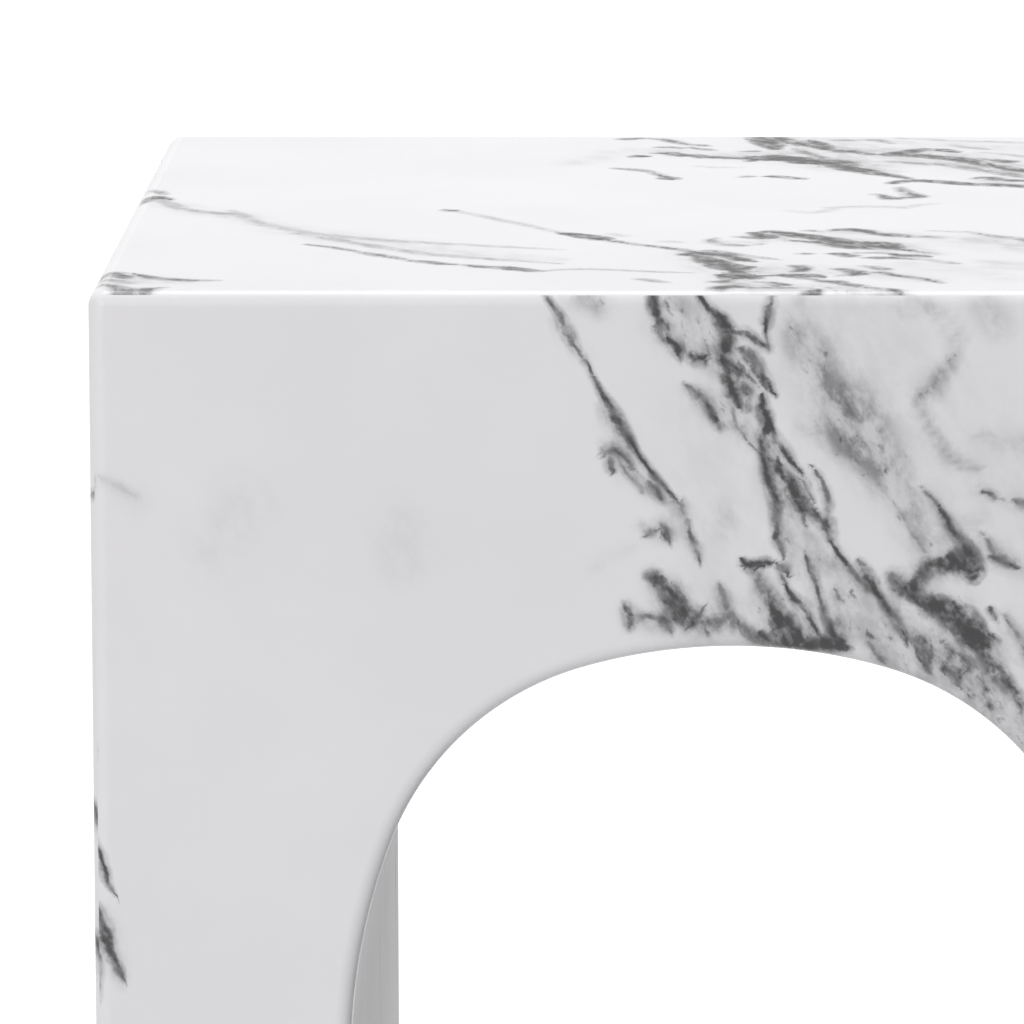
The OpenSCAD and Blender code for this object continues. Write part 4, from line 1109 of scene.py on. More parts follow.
def vein_fields(points, strokes):
    """Three numbers for every point, from the vein that is nearest for its width: side, the distance in
    half widths; reach, how far outside the vein the point is in mm; and depth, how dark the vein is.
    The side of a thin vein has a sign, so that it passes through 0 between two points of the mesh. A
    wide vein needs none, and without it there is no jump where the vein ends or meets another."""
    best = np.full(len(points), FAR_AWAY)
    side, reach, depth = best.copy(), best.copy(), np.zeros(len(points))
    for strength, rows in strokes:
        thin = rows[:, 2].mean() < THIN
        for start, end in segments(rows):
            distance, half, sign = near_to(points, start, end)
            ratio = distance / half
            closer = ratio < best
            best[closer] = ratio[closer]
            side[closer] = (sign * ratio if thin else ratio)[closer]
            reach[closer] = (distance - half)[closer]
            depth[closer] = strength
    return side, reach, depth


def soft_field(points, strokes):
    """A soft stain along each stroke: strength times exp(-(distance / half width) squared), and of
    several stains the lightest sum, one minus the product of what each lets through."""
    clear = np.ones(len(points))
    for strength, rows in strokes:
        stain = np.zeros(len(points))
        for start, end in segments(rows):
            distance, half, _ = near_to(points, start, end)
            stain = np.maximum(stain, np.exp(-(distance / half) ** 2))
        clear *= 1 - strength * stain
    return 1 - clear


print("thin veins on the front:", sum(rows[:, 2].mean() < THIN for _, rows in FRONT_SHEET[0]))

# %% [markdown]
# A sheet is laid on a board by its two axes. The lining lies in deep shade in the photograph, so the
# film grows darker where it turns into the arch. Less light there would darken the floor as well, so
# the film itself is shaded.

# %% Lay the sheets on the boards
# How dark the painted shade round the arch and on the lining is, as a factor on the film's colour.
PAINTED_ARCH_SHADE = 0.72
SHADE_FROM, SHADE_TO = 3.0, 9.5
SHADE_ACROSS, SHADE_UP = 160, 420


def painted_arch_shade(places):
    """1 all over a board, but round the arch it falls to PAINTED_ARCH_SHADE towards the lining. The fall follows
    3 t t - 2 t t t, where t goes from 0 to 1 between SHADE_FROM and SHADE_TO millimetres behind the
    board's face. So the round edge goes over into the darker lining without a line. Only what lies
    within SHADE_ACROSS mm of the middle and below SHADE_UP mm counts as round the arch."""
    depth = HALF / MM - np.abs(places[:, 1])
    share = np.clip((depth - SHADE_FROM) / (SHADE_TO - SHADE_FROM), 0, 1)
    beside = (np.abs(places[:, 0]) < SHADE_ACROSS) & (places[:, 2] < SHADE_UP)
    return 1 - (1 - PAINTED_ARCH_SHADE) * share ** 2 * (3 - 2 * share) * beside


def keep(piece, name, values, kind="FLOAT", field="value"):
    """Keeps a number, or another kind of value, for every point of the mesh."""
    made = piece.data.attributes.new(name, kind, "POINT")
    made.data.foreach_set(field, values.astype(np.float32).reshape(-1))


def lay_sheet(piece, sheet, across, up, flip=(1.0, 1.0), shift=(0.0, 0.0)):
    """Lays a sheet of veins on a board: a point's place on the sheet is flip times its place along the
    across and the up axis, both in mm and shifted. The place and the numbers of each layer are kept on
    the mesh under the names that the material reads."""
    count = len(piece.data.vertices)
    places = np.empty(count * 3)
    piece.data.vertices.foreach_get("co", places)
    places = places.reshape(-1, 3) / MM
    points = places[:, [across, up]] * flip + shift
    veins, smoke, spots = sheet
    for number, layer in enumerate(share_out(veins)):
        for name, values in zip(("side", "reach", "depth"), vein_fields(points, layer)):
            keep(piece, f"{name}_{number}", values)
    keep(piece, "smoke", soft_field(points, smoke))
    keep(piece, "spots", soft_field(points, spots))
    keep(piece, "shade", painted_arch_shade(places) if piece in (front_board, back_board) else np.ones(count))
    keep(piece, "sheet_place", np.concatenate([points, np.zeros((count, 1))], 1), "FLOAT_VECTOR", "vector")
    print(piece.name, "has its sheet")


X, Y, Z = 0, 1, 2
lay_sheet(front_board, FRONT_SHEET, X, Z)
lay_sheet(back_board, FRONT_SHEET, X, Z)
lay_sheet(left_board, SIDE_SHEET, Y, Z, flip=(-1.0, 1.0))
lay_sheet(right_board, SIDE_SHEET, Y, Z, flip=(1.0, -1.0), shift=(0.0, TOP / MM))
lay_sheet(top_board, TOP_SHEET, X, Y)

# %% [markdown]
# The film's colour comes from a node group, because the boards and the lining of the arch both use it:
# noise at several sizes bends and breaks the drawn veins, so that they look grown and not ruled.

# %% Small helpers for nodes
def put(tree, kind, **settings):
    """Adds a node and sets its own settings."""
    made = tree.nodes.new(kind)
    for name, value in settings.items():
        setattr(made, name, value)
    return made


def feed(tree, socket, value):
    """Gives a socket a value, or links another node's output to it."""
    if isinstance(value, bpy.types.NodeSocket):
        tree.links.new(value, socket)
    else:
        socket.default_value = value


def calc(tree, operation, first, second=0.0, third=0.0):
    """One step of arithmetic: the operation on first, second and, where it takes three, third."""
    made = put(tree, "ShaderNodeMath", operation=operation)
    for socket, value in zip(made.inputs, (first, second, third)):
        feed(tree, socket, value)
    return made.outputs[0]


def ramp_between(tree, value, start, end, low_value=0.0, high_value=1.0):
    """A smooth rise from low_value at start to high_value at end."""
    made = put(tree, "ShaderNodeMapRange", interpolation_type="SMOOTHSTEP")
    for label, given in (("Value", value), ("From Min", start), ("From Max", end), ("To Min", low_value),
                         ("To Max", high_value)):
        feed(tree, made.inputs[label], given)
    return made.outputs[0]


# Nearly all values of a cloud lie between these two.
CLOUD_SPAN = (0.3, 0.7)


def cloud(tree, place, size, detail=2.0, roughness=0.5, bend=0.0):
    """Noise whose lumps are about size mm wide. Gives values round one half."""
    made = put(tree, "ShaderNodeTexNoise", noise_dimensions="3D")
    for label, given in (("Vector", place), ("Scale", 1.0 / size), ("Detail", detail),
                         ("Roughness", roughness), ("Distortion", bend)):
        feed(tree, made.inputs[label], given)
    return made.outputs["Fac"]


def swing(tree, place, size):
    """Noise that goes evenly to both sides of 0."""
    return calc(tree, "SUBTRACT", cloud(tree, place, size), 0.5)


def blend(tree, factor, first, second, way="MIX"):
    """Mixes two colours."""
    made = put(tree, "ShaderNodeMix", data_type="RGBA", blend_type=way)
    feed(tree, made.inputs[0], factor)
    feed(tree, made.inputs[6], first)
    feed(tree, made.inputs[7], second)
    return made.outputs[2]


def new_group(name, inputs, outputs):
    """An empty node group with named sockets. Gives the group, its input sockets and its output node."""
    group = bpy.data.node_groups.new(name, "ShaderNodeTree")
    for label, kind in inputs:
        group.interface.new_socket(name=label, in_out="INPUT", socket_type=kind)
    for label, kind in outputs:
        group.interface.new_socket(name=label, in_out="OUTPUT", socket_type=kind)
    entry, leave = group.nodes.new("NodeGroupInput"), group.nodes.new("NodeGroupOutput")
    return group, entry.outputs, leave.inputs


def stretched(tree, vector, shares):
    """Each of the vector's three numbers times its share. Noise is drawn out along a small share."""
    made = put(tree, "ShaderNodeVectorMath", operation="MULTIPLY")
    feed(tree, made.inputs[0], vector)
    made.inputs[1].default_value = shares
    return made.outputs[0]


def place_in_mm(tree):
    """Object coordinates, in millimetres."""
    return stretched(tree, put(tree, "ShaderNodeTexCoord").outputs["Object"], (1 / MM, 1 / MM, 1 / MM))


print("helpers for nodes are ready")

# %% [markdown]
# A vein has a dark core and a pale halo round it. Both fade with the distance from the line in half
# widths, so that a wide vein fades slowly, and both also end a few millimetres outside the vein, so that
# a wide one doesn't smear. Noise added to the distance bends the vein's edge.

# %% Make the group that draws one layer of veins
NUMBER, VECTOR, COLOUR = "NodeSocketFloat", "NodeSocketVector", "NodeSocketColor"
# Each pair is a ramp from 0 at its first distance, the further one, to 1 at its second.
CORE_FADE, CORE_ENDS = (1.6, 0.25), (1.5, 0.75)
HALO_FADE, HALO_ENDS = (4.0, 0.8), (3.2, 1.0)

group, given, wanted = new_group(
    "vein_layer", [(label, NUMBER) for label in ("Bend", "Side", "Reach", "Depth", "Gaps")],
    (("Core", NUMBER), ("Halo", NUMBER)))
ratio = calc(group, "ABSOLUTE", calc(group, "ADD", given["Side"], given["Bend"]))
for label, fade, ends in (("Core", CORE_FADE, CORE_ENDS), ("Halo", HALO_FADE, HALO_ENDS)):
    near, within = ramp_between(group, ratio, *fade), ramp_between(group, given["Reach"], *ends)
    made = calc(group, "MULTIPLY", near, within)
    if label == "Core":
        made = calc(group, "MULTIPLY", made, given["Gaps"])
    feed(group, wanted[label], calc(group, "MULTIPLY", made, given["Depth"]))
VEIN_LAYER = group
print("nodes in a layer of veins:", len(group.nodes))

# %% [markdown]
# The film's group lays the layers of veins over each other, adds stains, and turns the whole into a
# colour in two steps, from white over grey to charcoal. Laying over means that each takes its share of
# the light that the ones before let through. The noise is stretched along the way that most veins run.

# %% Make the group that colours the marble
WHITE = (0.812, 0.800, 0.822, 1)
GREY = (0.33, 0.325, 0.335, 1)
CHARCOAL = (0.055, 0.055, 0.058, 1)
DEEPER = (0.034, 0.034, 0.036, 1)
FLOW_TURN, FLOW_STRETCH = math.radians(60), (0.62, 1.0, 1.0)
# A bend is a size in mm and a share in half widths. A noise is a size in mm, its detail and roughness.
BENDS = ((10, 2.4), (3.6, 2.0), (1.6, 0.8))
GAP_NOISE, MOTTLE_NOISE, FLECK_NOISE, GROUND_NOISE = (5, 3, 0.55), (9, 5, 0.62), (3.4, 3, 0.5), (90, 4)
# A rise says where it starts and ends, and the values there if they aren't 0 and 1.
GAP_RISE, GROUND_RISE = (0.37, 0.6, 0.3, 1.0), (*CLOUD_SPAN, 0.965, 1.0)
HAZE_RISE, SOFT_RISE = (0.34, 0.66, 0.35, 1.25), (0.34, 0.6, 0.25, 0.7)
FLECK_RISE, STAINED_RISE, DARK_RISE = (0.64, 0.9), (0.15, 0.5), (0.4, 1.0)
SMOKE_LIFT, SPOT_LIFT, GREY_GAIN = 0.08, 0.28, 1.8
SPOT_SHARE, SMOKE_SHARE, SOFT_SHARE = 0.85, 0.66, 0.8

LAYER_INPUTS = [f"{name} {number}" for number in range(LAYERS) for name in ("Side", "Reach", "Depth")]
group, given, wanted = new_group(
    "marble_film", [("Place", VECTOR), ("Dark", COLOUR)] +
    [(label, NUMBER) for label in ("Raggedness", "Smoke", "Spots", *LAYER_INPUTS)],
    (("Color", COLOUR),))


def laid_over(clear, amount, share=1.0):
    """What one more stain leaves of the light let through so far: clear times (1 - share times amount)."""
    stain = calc(group, "MULTIPLY", amount, share)
    return calc(group, "MULTIPLY", clear, calc(group, "SUBTRACT", 1.0, stain))


place = given["Place"]
turned = put(group, "ShaderNodeVectorRotate", rotation_type="Z_AXIS")
feed(group, turned.inputs["Vector"], place)
feed(group, turned.inputs["Angle"], FLOW_TURN)
flow = stretched(group, turned.outputs[0], FLOW_STRETCH)
bend = 0.0
for size, share in BENDS:
    bend = calc(group, "MULTIPLY_ADD", swing(group, place, size), share, bend)
bend = calc(group, "MULTIPLY", bend, given["Raggedness"])
gaps = ramp_between(group, cloud(group, flow, *GAP_NOISE), *GAP_RISE)
clear, soft = 1.0, 0.0
for number in range(LAYERS):
    layer = put(group, "ShaderNodeGroup", node_tree=VEIN_LAYER)
    feed(group, layer.inputs["Bend"], bend)
    feed(group, layer.inputs["Gaps"], gaps)
    for label in ("Side", "Reach", "Depth"):
        feed(group, layer.inputs[label], given[f"{label} {number}"])
    clear = laid_over(clear, layer.outputs["Core"])
    soft = calc(group, "MAXIMUM", soft, layer.outputs["Halo"])
print("layers of veins in the film:", LAYERS)

# %% [markdown]
# Over the veins come the haze of the smoke, the soft surroundings of the veins, both mottled by the
# same noise, and the flecks. A fleck is a peak of a fine noise, which the smoke and the spots lift, so
# flecks gather in them and lie nowhere else. Specks could also be scattered one by one, but the noise
# gives ragged ones of all sizes.

# %% Add the stains and turn the whole into a colour
mottle = cloud(group, flow, *MOTTLE_NOISE)
haze = calc(group, "MULTIPLY", given["Smoke"], ramp_between(group, mottle, *HAZE_RISE))
soft_vein = calc(group, "MULTIPLY", soft, ramp_between(group, mottle, *SOFT_RISE))
lifted = calc(group, "MULTIPLY_ADD", given["Smoke"], SMOKE_LIFT, cloud(group, flow, *FLECK_NOISE))
lifted = calc(group, "MULTIPLY_ADD", given["Spots"], SPOT_LIFT, lifted)
stained = ramp_between(group, calc(group, "ADD", given["Smoke"], given["Spots"]), *STAINED_RISE)
spot = calc(group, "MULTIPLY", ramp_between(group, lifted, *FLECK_RISE), stained)
for amount, share in ((spot, SPOT_SHARE), (haze, SMOKE_SHARE), (soft_vein, SOFT_SHARE)):
    clear = laid_over(clear, amount, share)
vein = calc(group, "SUBTRACT", 1.0, clear)
ground = ramp_between(group, cloud(group, place, *GROUND_NOISE), *GROUND_RISE)
base = blend(group, 1.0, WHITE, ground, "MULTIPLY")
greyness = calc(group, "MINIMUM", calc(group, "MULTIPLY", vein, GREY_GAIN), 1.0)
half_way = blend(group, greyness, base, GREY)
feed(group, wanted["Color"], blend(group, ramp_between(group, vein, *DARK_RISE), half_way, given["Dark"]))
MARBLE_FILM = group
print("nodes in the film:", len(group.nodes))

# %% [markdown]
# The film is satin. On the uprights the veins are ragged. The top is seen almost edge on, where any
# gloss would mirror the pale room and hide its veins, so its flat gets next to none and a deeper dark,
# while its rounded edge keeps the gloss that makes the bright line along it.

# %% Make the marble finishes
SATIN = 0.24


def new_finish(name, roughness, specular):
    """A material with one Principled shader. Gives the material, its node tree and the shader."""
    material = bpy.data.materials.new(name)
    material.use_nodes = True
    shader = material.node_tree.nodes["Principled BSDF"]
    shader.inputs["Roughness"].default_value = roughness
    shader.inputs["Specular IOR Level"].default_value = specular
    return material, material.node_tree, shader


def from_mesh(tree, name, kind="Fac"):
    """What the mesh keeps under a name: a number, or a vector."""
    return put(tree, "ShaderNodeAttribute", attribute_name=name).outputs[kind]


def marble_finish(name, raggedness, specular, dark):
    """The film with the numbers that the board's mesh holds. Raggedness bends the veins, and dark is the
    colour of their cores."""
    material, tree, shader = new_finish(name, SATIN, specular)
    film = put(tree, "ShaderNodeGroup", node_tree=MARBLE_FILM)
    film.inputs["Raggedness"].default_value = raggedness
    film.inputs["Dark"].default_value = dark
    for label in ("Smoke", "Spots", *LAYER_INPUTS):
        feed(tree, film.inputs[label], from_mesh(tree, label.lower().replace(" ", "_")))
    feed(tree, film.inputs["Place"], from_mesh(tree, "sheet_place", "Vector"))
    # The mesh's shade multiplies the film: painted shade round the arch, 1 everywhere else.
    shaded = blend(tree, 1.0, film.outputs["Color"], from_mesh(tree, "shade"), "MULTIPLY")
    feed(tree, shader.inputs["Base Color"], shaded)
    return material


upright_marble = marble_finish("upright_marble", raggedness=0.95, specular=0.3, dark=CHARCOAL)
top_marble = marble_finish("top_marble", raggedness=0.6, specular=0.02, dark=DEEPER)
arris_marble = marble_finish("arris_marble", raggedness=0.6, specular=0.25, dark=CHARCOAL)
print("marble finishes:", [m.name for m in (upright_marble, top_marble, arris_marble)])

# %% [markdown]
# The inner walls and the soffit carry the same film, laid with its streaks upright. They are plain
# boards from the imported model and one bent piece, so no veins are drawn on them: the film's stains
# come from long noise, and their place on the sheet is worked out in the material. Below the springing
# it is the height, above it the length round the arch, so the streaks run on over the joint.

# %% Make the finish of the lining
def parts_of(tree, vector):
    """The three numbers of a vector."""
    made = put(tree, "ShaderNodeSeparateXYZ")
    feed(tree, made.inputs[0], vector)
    return made.outputs


def joined(tree, x, y, z):
    """A vector made of three numbers."""
    made = put(tree, "ShaderNodeCombineXYZ")
    for socket, value in zip(made.inputs, (x, y, z)):
        feed(tree, socket, value)
    return made.outputs[0]


def sheet_round_arch(tree):
    """(back, along the lining, across / 2) in mm. Along is the height below the springing; above it,
    the crown's radius times the angle round the crown's centre, moved so that both agree there."""
    x, y, z = parts_of(tree, place_in_mm(tree))
    centre, radius, spring, span = CROWN[1] / MM, CROWN[2] / MM, SPRING / MM, SPAN / MM
    angle = calc(tree, "ARCTAN2", calc(tree, "SUBTRACT", z, centre), calc(tree, "ABSOLUTE", x))
    at_spring = math.atan2(spring - centre, span)
    turn = calc(tree, "SUBTRACT", angle, at_spring)
    round_arch = calc(tree, "MULTIPLY_ADD", turn, radius, spring)
    above = calc(tree, "GREATER_THAN", z, spring)
    along = calc(tree, "ADD", z, calc(tree, "MULTIPLY", above, calc(tree, "SUBTRACT", round_arch, z)))
    return joined(tree, y, along, calc(tree, "MULTIPLY", x, 0.5))


# The lining's whole colour is darkened by the same factor: painted shade of the deep arch.
PAINTED_LINING_SHADE = (PAINTED_ARCH_SHADE, PAINTED_ARCH_SHADE, PAINTED_ARCH_SHADE, 1)
DRAWN_UP = (1.0, 0.12, 1.0)
STREAK_SMOKE, STREAK_FLECKS = (0.5, 0.8, 0.0, 0.6), (0.62, 0.8, 0.0, 0.6)
lining, tree, shader = new_finish("lining_marble", roughness=0.4, specular=0.18)
upright = stretched(tree, sheet_round_arch(tree), DRAWN_UP)
streaks = cloud(tree, upright, 16, detail=4, roughness=0.6)
film = put(tree, "ShaderNodeGroup", node_tree=MARBLE_FILM)
feed(tree, film.inputs["Place"], upright)
film.inputs["Dark"].default_value = CHARCOAL
feed(tree, film.inputs["Smoke"], ramp_between(tree, streaks, *STREAK_SMOKE))
feed(tree, film.inputs["Spots"], ramp_between(tree, streaks, *STREAK_FLECKS))
for number in range(LAYERS):
    film.inputs[f"Side {number}"].default_value = FAR_AWAY
    film.inputs[f"Reach {number}"].default_value = FAR_AWAY
feed(tree, shader.inputs["Base Color"], blend(tree, 1.0, film.outputs["Color"], PAINTED_LINING_SHADE, "MULTIPLY"))
print("the lining has its streaks")

# %% [markdown]
# The boards inside are raw timber. Pine, plywood and the ribs share one grain: noise pulled out to long
# fibres, with broad early and late wood. Only the direction of the fibres and the colours differ, so
# the grain is one node group, and each timber turns the coordinates before they go in.

# %% Make the timber grain
RINGS_DRAWN, FIBRES_DRAWN = (0.05, 1.0, 1.0), (0.03, 1.0, 1.0)
RING_NOISE, FIBRE_NOISE = (9, 3, 0.5, 0.4), (0.8, 3, 0.6)
RING_COUNT, LATE_WOOD = 60.0, (0.35, 0.95)
LATE_SHARE, FIBRE_SHARE, RING_RELIEF = 0.65, 0.35, 0.2

group, given, wanted = new_group(
    "timber_grain", (("Along", VECTOR), ("Light", COLOUR), ("Dark", COLOUR), ("Ring Size", NUMBER)),
    (("Color", COLOUR), ("Height", NUMBER)))
rings = cloud(group, stretched(group, given["Along"], RINGS_DRAWN), *RING_NOISE)
ring_lines = calc(group, "DIVIDE", calc(group, "MULTIPLY", rings, RING_COUNT), given["Ring Size"])
ring_lines = calc(group, "FRACT", ring_lines)
fibres = cloud(group, stretched(group, given["Along"], FIBRES_DRAWN), *FIBRE_NOISE)
late_wood = ramp_between(group, ring_lines, *LATE_WOOD)
tone = calc(group, "MULTIPLY_ADD", late_wood, LATE_SHARE, calc(group, "MULTIPLY", fibres, FIBRE_SHARE))
feed(group, wanted["Color"], blend(group, tone, given["Light"], given["Dark"]))
furrows = calc(group, "MULTIPLY", ring_lines, RING_RELIEF)
feed(group, wanted["Height"], calc(group, "SUBTRACT", fibres, furrows))
TIMBER_GRAIN = group
print("nodes in the grain:", len(group.nodes))


def roughened(tree, shader, height, depth_mm, strength=0.5):
    """Feeds a height to the shader's normal as fine relief, depth_mm from lowest to highest."""
    bump = put(tree, "ShaderNodeBump")
    bump.inputs["Strength"].default_value = strength
    bump.inputs["Distance"].default_value = depth_mm * MM
    feed(tree, bump.inputs["Height"], height)
    feed(tree, shader.inputs["Normal"], bump.outputs[0])


PLY_PAIR, PLY_EDGE, PLY_DARK = 3.0, 0.25, 0.4


def timber(name, axis, light, dark, ring_size, plies=None):
    """Raw timber with fibres along an axis. Plies gives the axis of a plywood's thickness: there a band
    of every other ply is darker, because its fibres run across, and two plies are PLY_PAIR mm thick."""
    material, tree, shader = new_finish(name, roughness=0.62, specular=0.35)
    spots = parts_of(tree, place_in_mm(tree))
    order = [axis] + [other for other in (X, Y, Z) if other != axis]
    grain = put(tree, "ShaderNodeGroup", node_tree=TIMBER_GRAIN)
    feed(tree, grain.inputs["Along"], joined(tree, *(spots[k] for k in order)))
    grain.inputs["Light"].default_value = (*light, 1)
    grain.inputs["Dark"].default_value = (*dark, 1)
    grain.inputs["Ring Size"].default_value = ring_size
    colour = grain.outputs["Color"]
    if plies is not None:
        wave = calc(tree, "SINE", calc(tree, "MULTIPLY", spots[plies], 2 * math.pi / PLY_PAIR))
        across = ramp_between(tree, wave, -PLY_EDGE, PLY_EDGE, 0.0, PLY_DARK)
        colour = blend(tree, across, colour, (*dark, 1))
    feed(tree, shader.inputs["Base Color"], colour)
    roughened(tree, shader, grain.outputs["Height"], depth_mm=0.15)
    return material


PINE = ((0.74, 0.56, 0.34), (0.56, 0.36, 0.17))
BIRCH = ((0.66, 0.50, 0.32), (0.46, 0.31, 0.17))
PINE_RINGS, BIRCH_RINGS = 4.0, 7.0
pine, plywood = {}, {}
for way, axis in (("across", X), ("back", Y), ("up", Z)):
    pine[way] = timber(f"pine_{way}", axis, *PINE, PINE_RINGS)
for way, axis, thickness in (("rib", X, Y), ("across", X, Z), ("back", Y, Z), ("up", Z, X)):
    plywood[way] = timber(f"plywood_{way}", axis, *BIRCH, BIRCH_RINGS, plies=thickness)
print("timbers:", [m.name for m in (*pine.values(), *plywood.values())])

# %% [markdown]
# Fibreboard is pressed from short fibres, so it shows flecks and no grain. The glides are moulded nylon
# with the fine bloom of a mould, the pads are pressed felt, and the screws are zinc plated, a metal
# with cloudy patches of blue and yellow. Each is a mix of two near colours by noise, with a fine relief.
# They need no group of their own, because each effect is in one material only.

# %% Make the other finishes
FIBREBOARD_TONES, FIBREBOARD_BROAD = ((0.30, 0.20, 0.11, 1), (0.58, 0.43, 0.27, 1)), (0.42, 0.31, 0.19, 1)
NYLON_TONES = ((0.018, 0.018, 0.020, 1), (0.034, 0.034, 0.038, 1))
FELT_TONES = ((0.045, 0.043, 0.040, 1), (0.14, 0.13, 0.125, 1))
ZINC_TONES = ((0.52, 0.55, 0.60, 1), (0.70, 0.67, 0.56, 1))

fibreboard, tree, shader = new_finish("fibreboard_finish", roughness=0.75, specular=0.25)
place = place_in_mm(tree)
flecks = cloud(tree, place, 0.9, detail=3, roughness=0.7)
colour = blend(tree, flecks, *FIBREBOARD_TONES)
broad = ramp_between(tree, cloud(tree, place, 14, detail=3), *CLOUD_SPAN, 0.0, 0.3)
feed(tree, shader.inputs["Base Color"], blend(tree, broad, colour, FIBREBOARD_BROAD))
roughened(tree, shader, flecks, depth_mm=0.1)

nylon, tree, shader = new_finish("nylon_finish", roughness=0.5, specular=0.4)
place = place_in_mm(tree)
bloom = cloud(tree, place, 0.6, roughness=0.6)
colour = blend(tree, cloud(tree, place, 6, detail=3), *NYLON_TONES)
feed(tree, shader.inputs["Base Color"], colour)
feed(tree, shader.inputs["Roughness"], ramp_between(tree, bloom, *CLOUD_SPAN, 0.42, 0.6))
roughened(tree, shader, bloom, depth_mm=0.05)

felt, tree, shader = new_finish("felt_finish", roughness=0.95, specular=0.1)
place = place_in_mm(tree)
hair = cloud(tree, place, 0.7, detail=4, roughness=0.75, bend=1.5)
feed(tree, shader.inputs["Base Color"], blend(tree, hair, *FELT_TONES))
shader.inputs["Sheen Weight"].default_value = 0.4
roughened(tree, shader, hair, depth_mm=0.4, strength=0.9)

zinc, tree, shader = new_finish("zinc_finish", roughness=0.35, specular=0.5)
place = place_in_mm(tree)
patches = cloud(tree, place, 2.5, detail=3)
shader.inputs["Metallic"].default_value = 1.0
feed(tree, shader.inputs["Base Color"], blend(tree, patches, *ZINC_TONES))
feed(tree, shader.inputs["Roughness"], ramp_between(tree, patches, *CLOUD_SPAN, 0.28, 0.42))
roughened(tree, shader, cloud(tree, place, 0.4), depth_mm=0.02)
print("other finishes:", [m.name for m in (fibreboard, nylon, felt, zinc)])

# %% [markdown]
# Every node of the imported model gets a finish, also those that no view shows. Its slot says which, and
# for timber its name says how the piece lies, because the grain runs along it.

# %% Give every piece its finish
def way_of(name):
    """How a piece of timber lies: a rib is cut from a sheet; posts, battens and upright splines have no
    top in their name and stand up; those left and right of the top run back, and the others across."""
    if "rib" in name:
        return "rib"
    if "top" not in name:
        return "up"
    return "back" if name.startswith(("left", "right")) else "across"


def finish_for(name, slot):
    """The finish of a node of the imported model, from its slot and, for timber, the way it lies."""
    if slot in ("pine", "plywood"):
        return {"pine": pine, "plywood": plywood}[slot][way_of(name)]
    return {"marble": lining, "fibreboard": fibreboard, "nylon": nylon, "felt": felt, "steel": zinc}[slot]


SLOT_OF = {row["node"]: row["material_slot"] for row in frame["record"]["subparts"]}
for name, node in frame["nodes"].items():
    node.data.materials[0] = finish_for(name, SLOT_OF[name])
print("finished nodes:", len(frame["nodes"]))

# %% [markdown]
# The boards get the marble. The top has two finishes, its flat and its rounded edge, so each of its
# faces is told which to take by how far it leans.

# %% Give the boards their marble
LEVEL_ENOUGH = 0.998

for piece in (left_board, right_board, front_board, back_board):
    piece.data.materials.append(upright_marble)
soffit.data.materials.append(lining)
top_board.data.materials.append(top_marble)
top_board.data.materials.append(arris_marble)
facing = np.empty(len(top_board.data.polygons) * 3)
top_board.data.polygons.foreach_get("normal", facing)
leaning = (facing.reshape(-1, 3)[:, 2] < LEVEL_ENOUGH).astype(np.int32)
top_board.data.polygons.foreach_set("material_index", leaning)
print("faces of the top board off its flat:", int(leaning.sum()))

# %% [markdown]
# The floor is a large pale plane. Camera rays see it a little brighter than it is, so that it turns
# white where nothing shades it, while the table keeps its shadow. The sky is white to the camera and
# dimmer as a light. A brighter light would whiten both too, but it would also wash out the table.

# %% Lay the floor and set the sky
FLOOR_REACH, FLOOR_WHITE, FLOOR_LIFT = 30, (0.74, 0.74, 0.74, 1), 0.8
SKY_SEEN, SKY_LIGHT = 1.0, 0.40
PLAIN_WHITE = (1, 1, 1, 1)


def seen_ray(tree):
    """1 for rays that come from the camera, also by way of a mirror or of glass, and 0 for the rest: the
    largest of the three marks."""
    paths = put(tree, "ShaderNodeLightPath").outputs
    seen = calc(tree, "MAXIMUM", paths["Is Camera Ray"], paths["Is Glossy Ray"])
    return calc(tree, "MAXIMUM", seen, paths["Is Transmission Ray"])


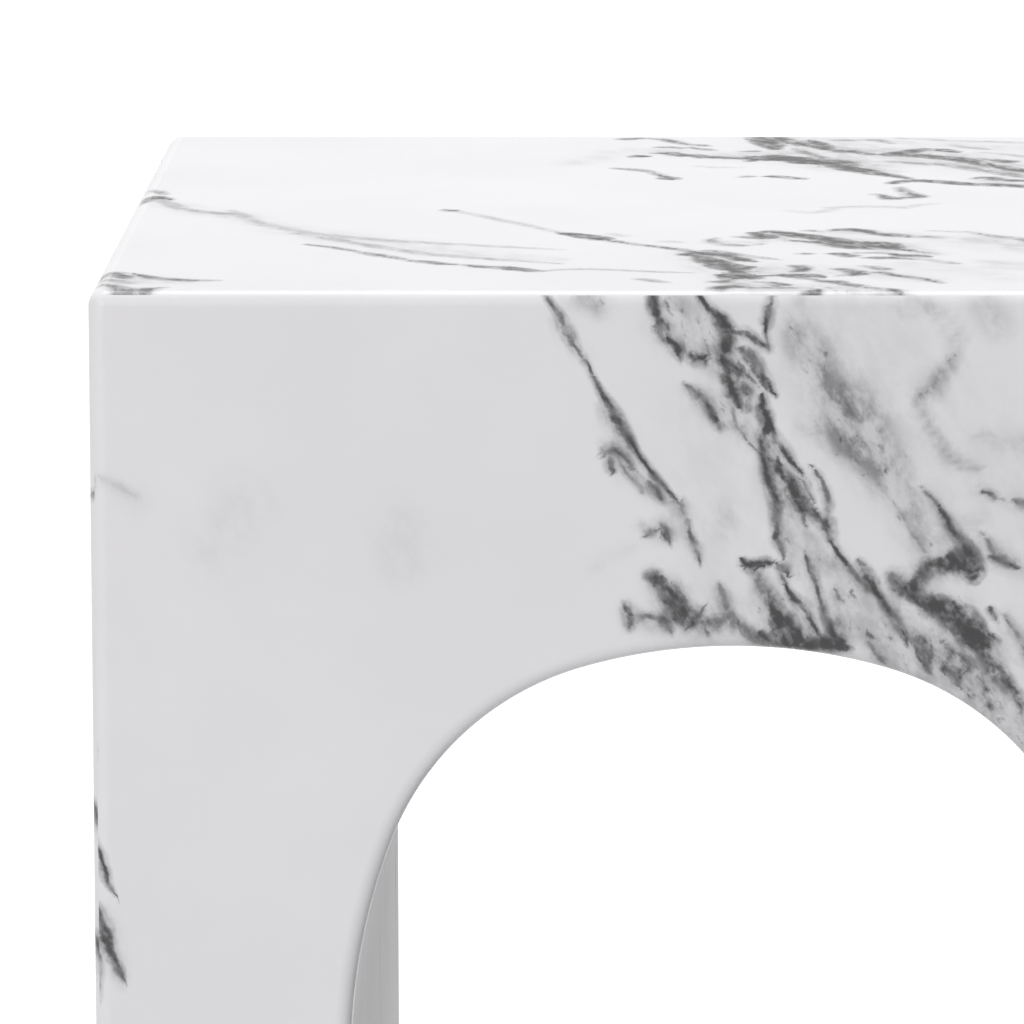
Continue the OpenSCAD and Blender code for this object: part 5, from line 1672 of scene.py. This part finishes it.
corners = [(-FLOOR_REACH, -FLOOR_REACH, 0), (FLOOR_REACH, -FLOOR_REACH, 0), (FLOOR_REACH, FLOOR_REACH, 0),
           (-FLOOR_REACH, FLOOR_REACH, 0)]
floor_mesh = bpy.data.meshes.new("floor")
floor_mesh.from_pydata(corners, [], [(0, 1, 2, 3)])
floor = bpy.data.objects.new("floor", floor_mesh)
bpy.context.scene.collection.objects.link(floor)
floor_finish, tree, shader = new_finish("floor_finish", roughness=0.9, specular=0)
shader.inputs["Base Color"].default_value = FLOOR_WHITE
shader.inputs["Emission Color"].default_value = PLAIN_WHITE
feed(tree, shader.inputs["Emission Strength"], calc(tree, "MULTIPLY", seen_ray(tree), FLOOR_LIFT))
floor.data.materials.append(floor_finish)

world = bpy.data.worlds.new("sky")
bpy.context.scene.world = world
world.use_nodes = True
tree = world.node_tree
sky = tree.nodes["Background"]
sky.inputs["Color"].default_value = PLAIN_WHITE
strength = calc(tree, "MULTIPLY_ADD", seen_ray(tree), SKY_SEEN - SKY_LIGHT, SKY_LIGHT)
feed(tree, sky.inputs["Strength"], strength)
print("floor and sky are set")

# %% [markdown]
# Two soft lamps light the table: one overhead, which makes the top the brightest face, and a large one
# in front on the left, which keeps the front even and leaves the lining in shade. Their size makes the
# shadows soft. A sun lamp would give one hard shadow.

# %% Set the lamps
def lamp(name, at, aim, size, watts):
    """A square soft lamp that points at aim. The camera doesn't see it."""
    light = bpy.data.lights.new(name, "AREA")
    light.shape, light.size, light.energy = "SQUARE", size, watts
    holder = bpy.data.objects.new(name, light)
    bpy.context.scene.collection.objects.link(holder)
    holder.location = at
    holder.rotation_euler = (Vector(aim) - Vector(at)).to_track_quat("-Z", "Y").to_euler()
    holder.visible_camera = False
    return holder


lamp("overhead", at=(0.0, 0.22, 2.1), aim=(0, 0, 0.5), size=0.9, watts=17.6)
lamp("left_front", at=(-1.5, -3.15, 1.5), aim=(0, 0, 0.3), size=2.4, watts=55.0)
bpy.context.scene.view_settings.view_transform = "Standard"
print("lamps:", [light.name for light in bpy.data.lights])
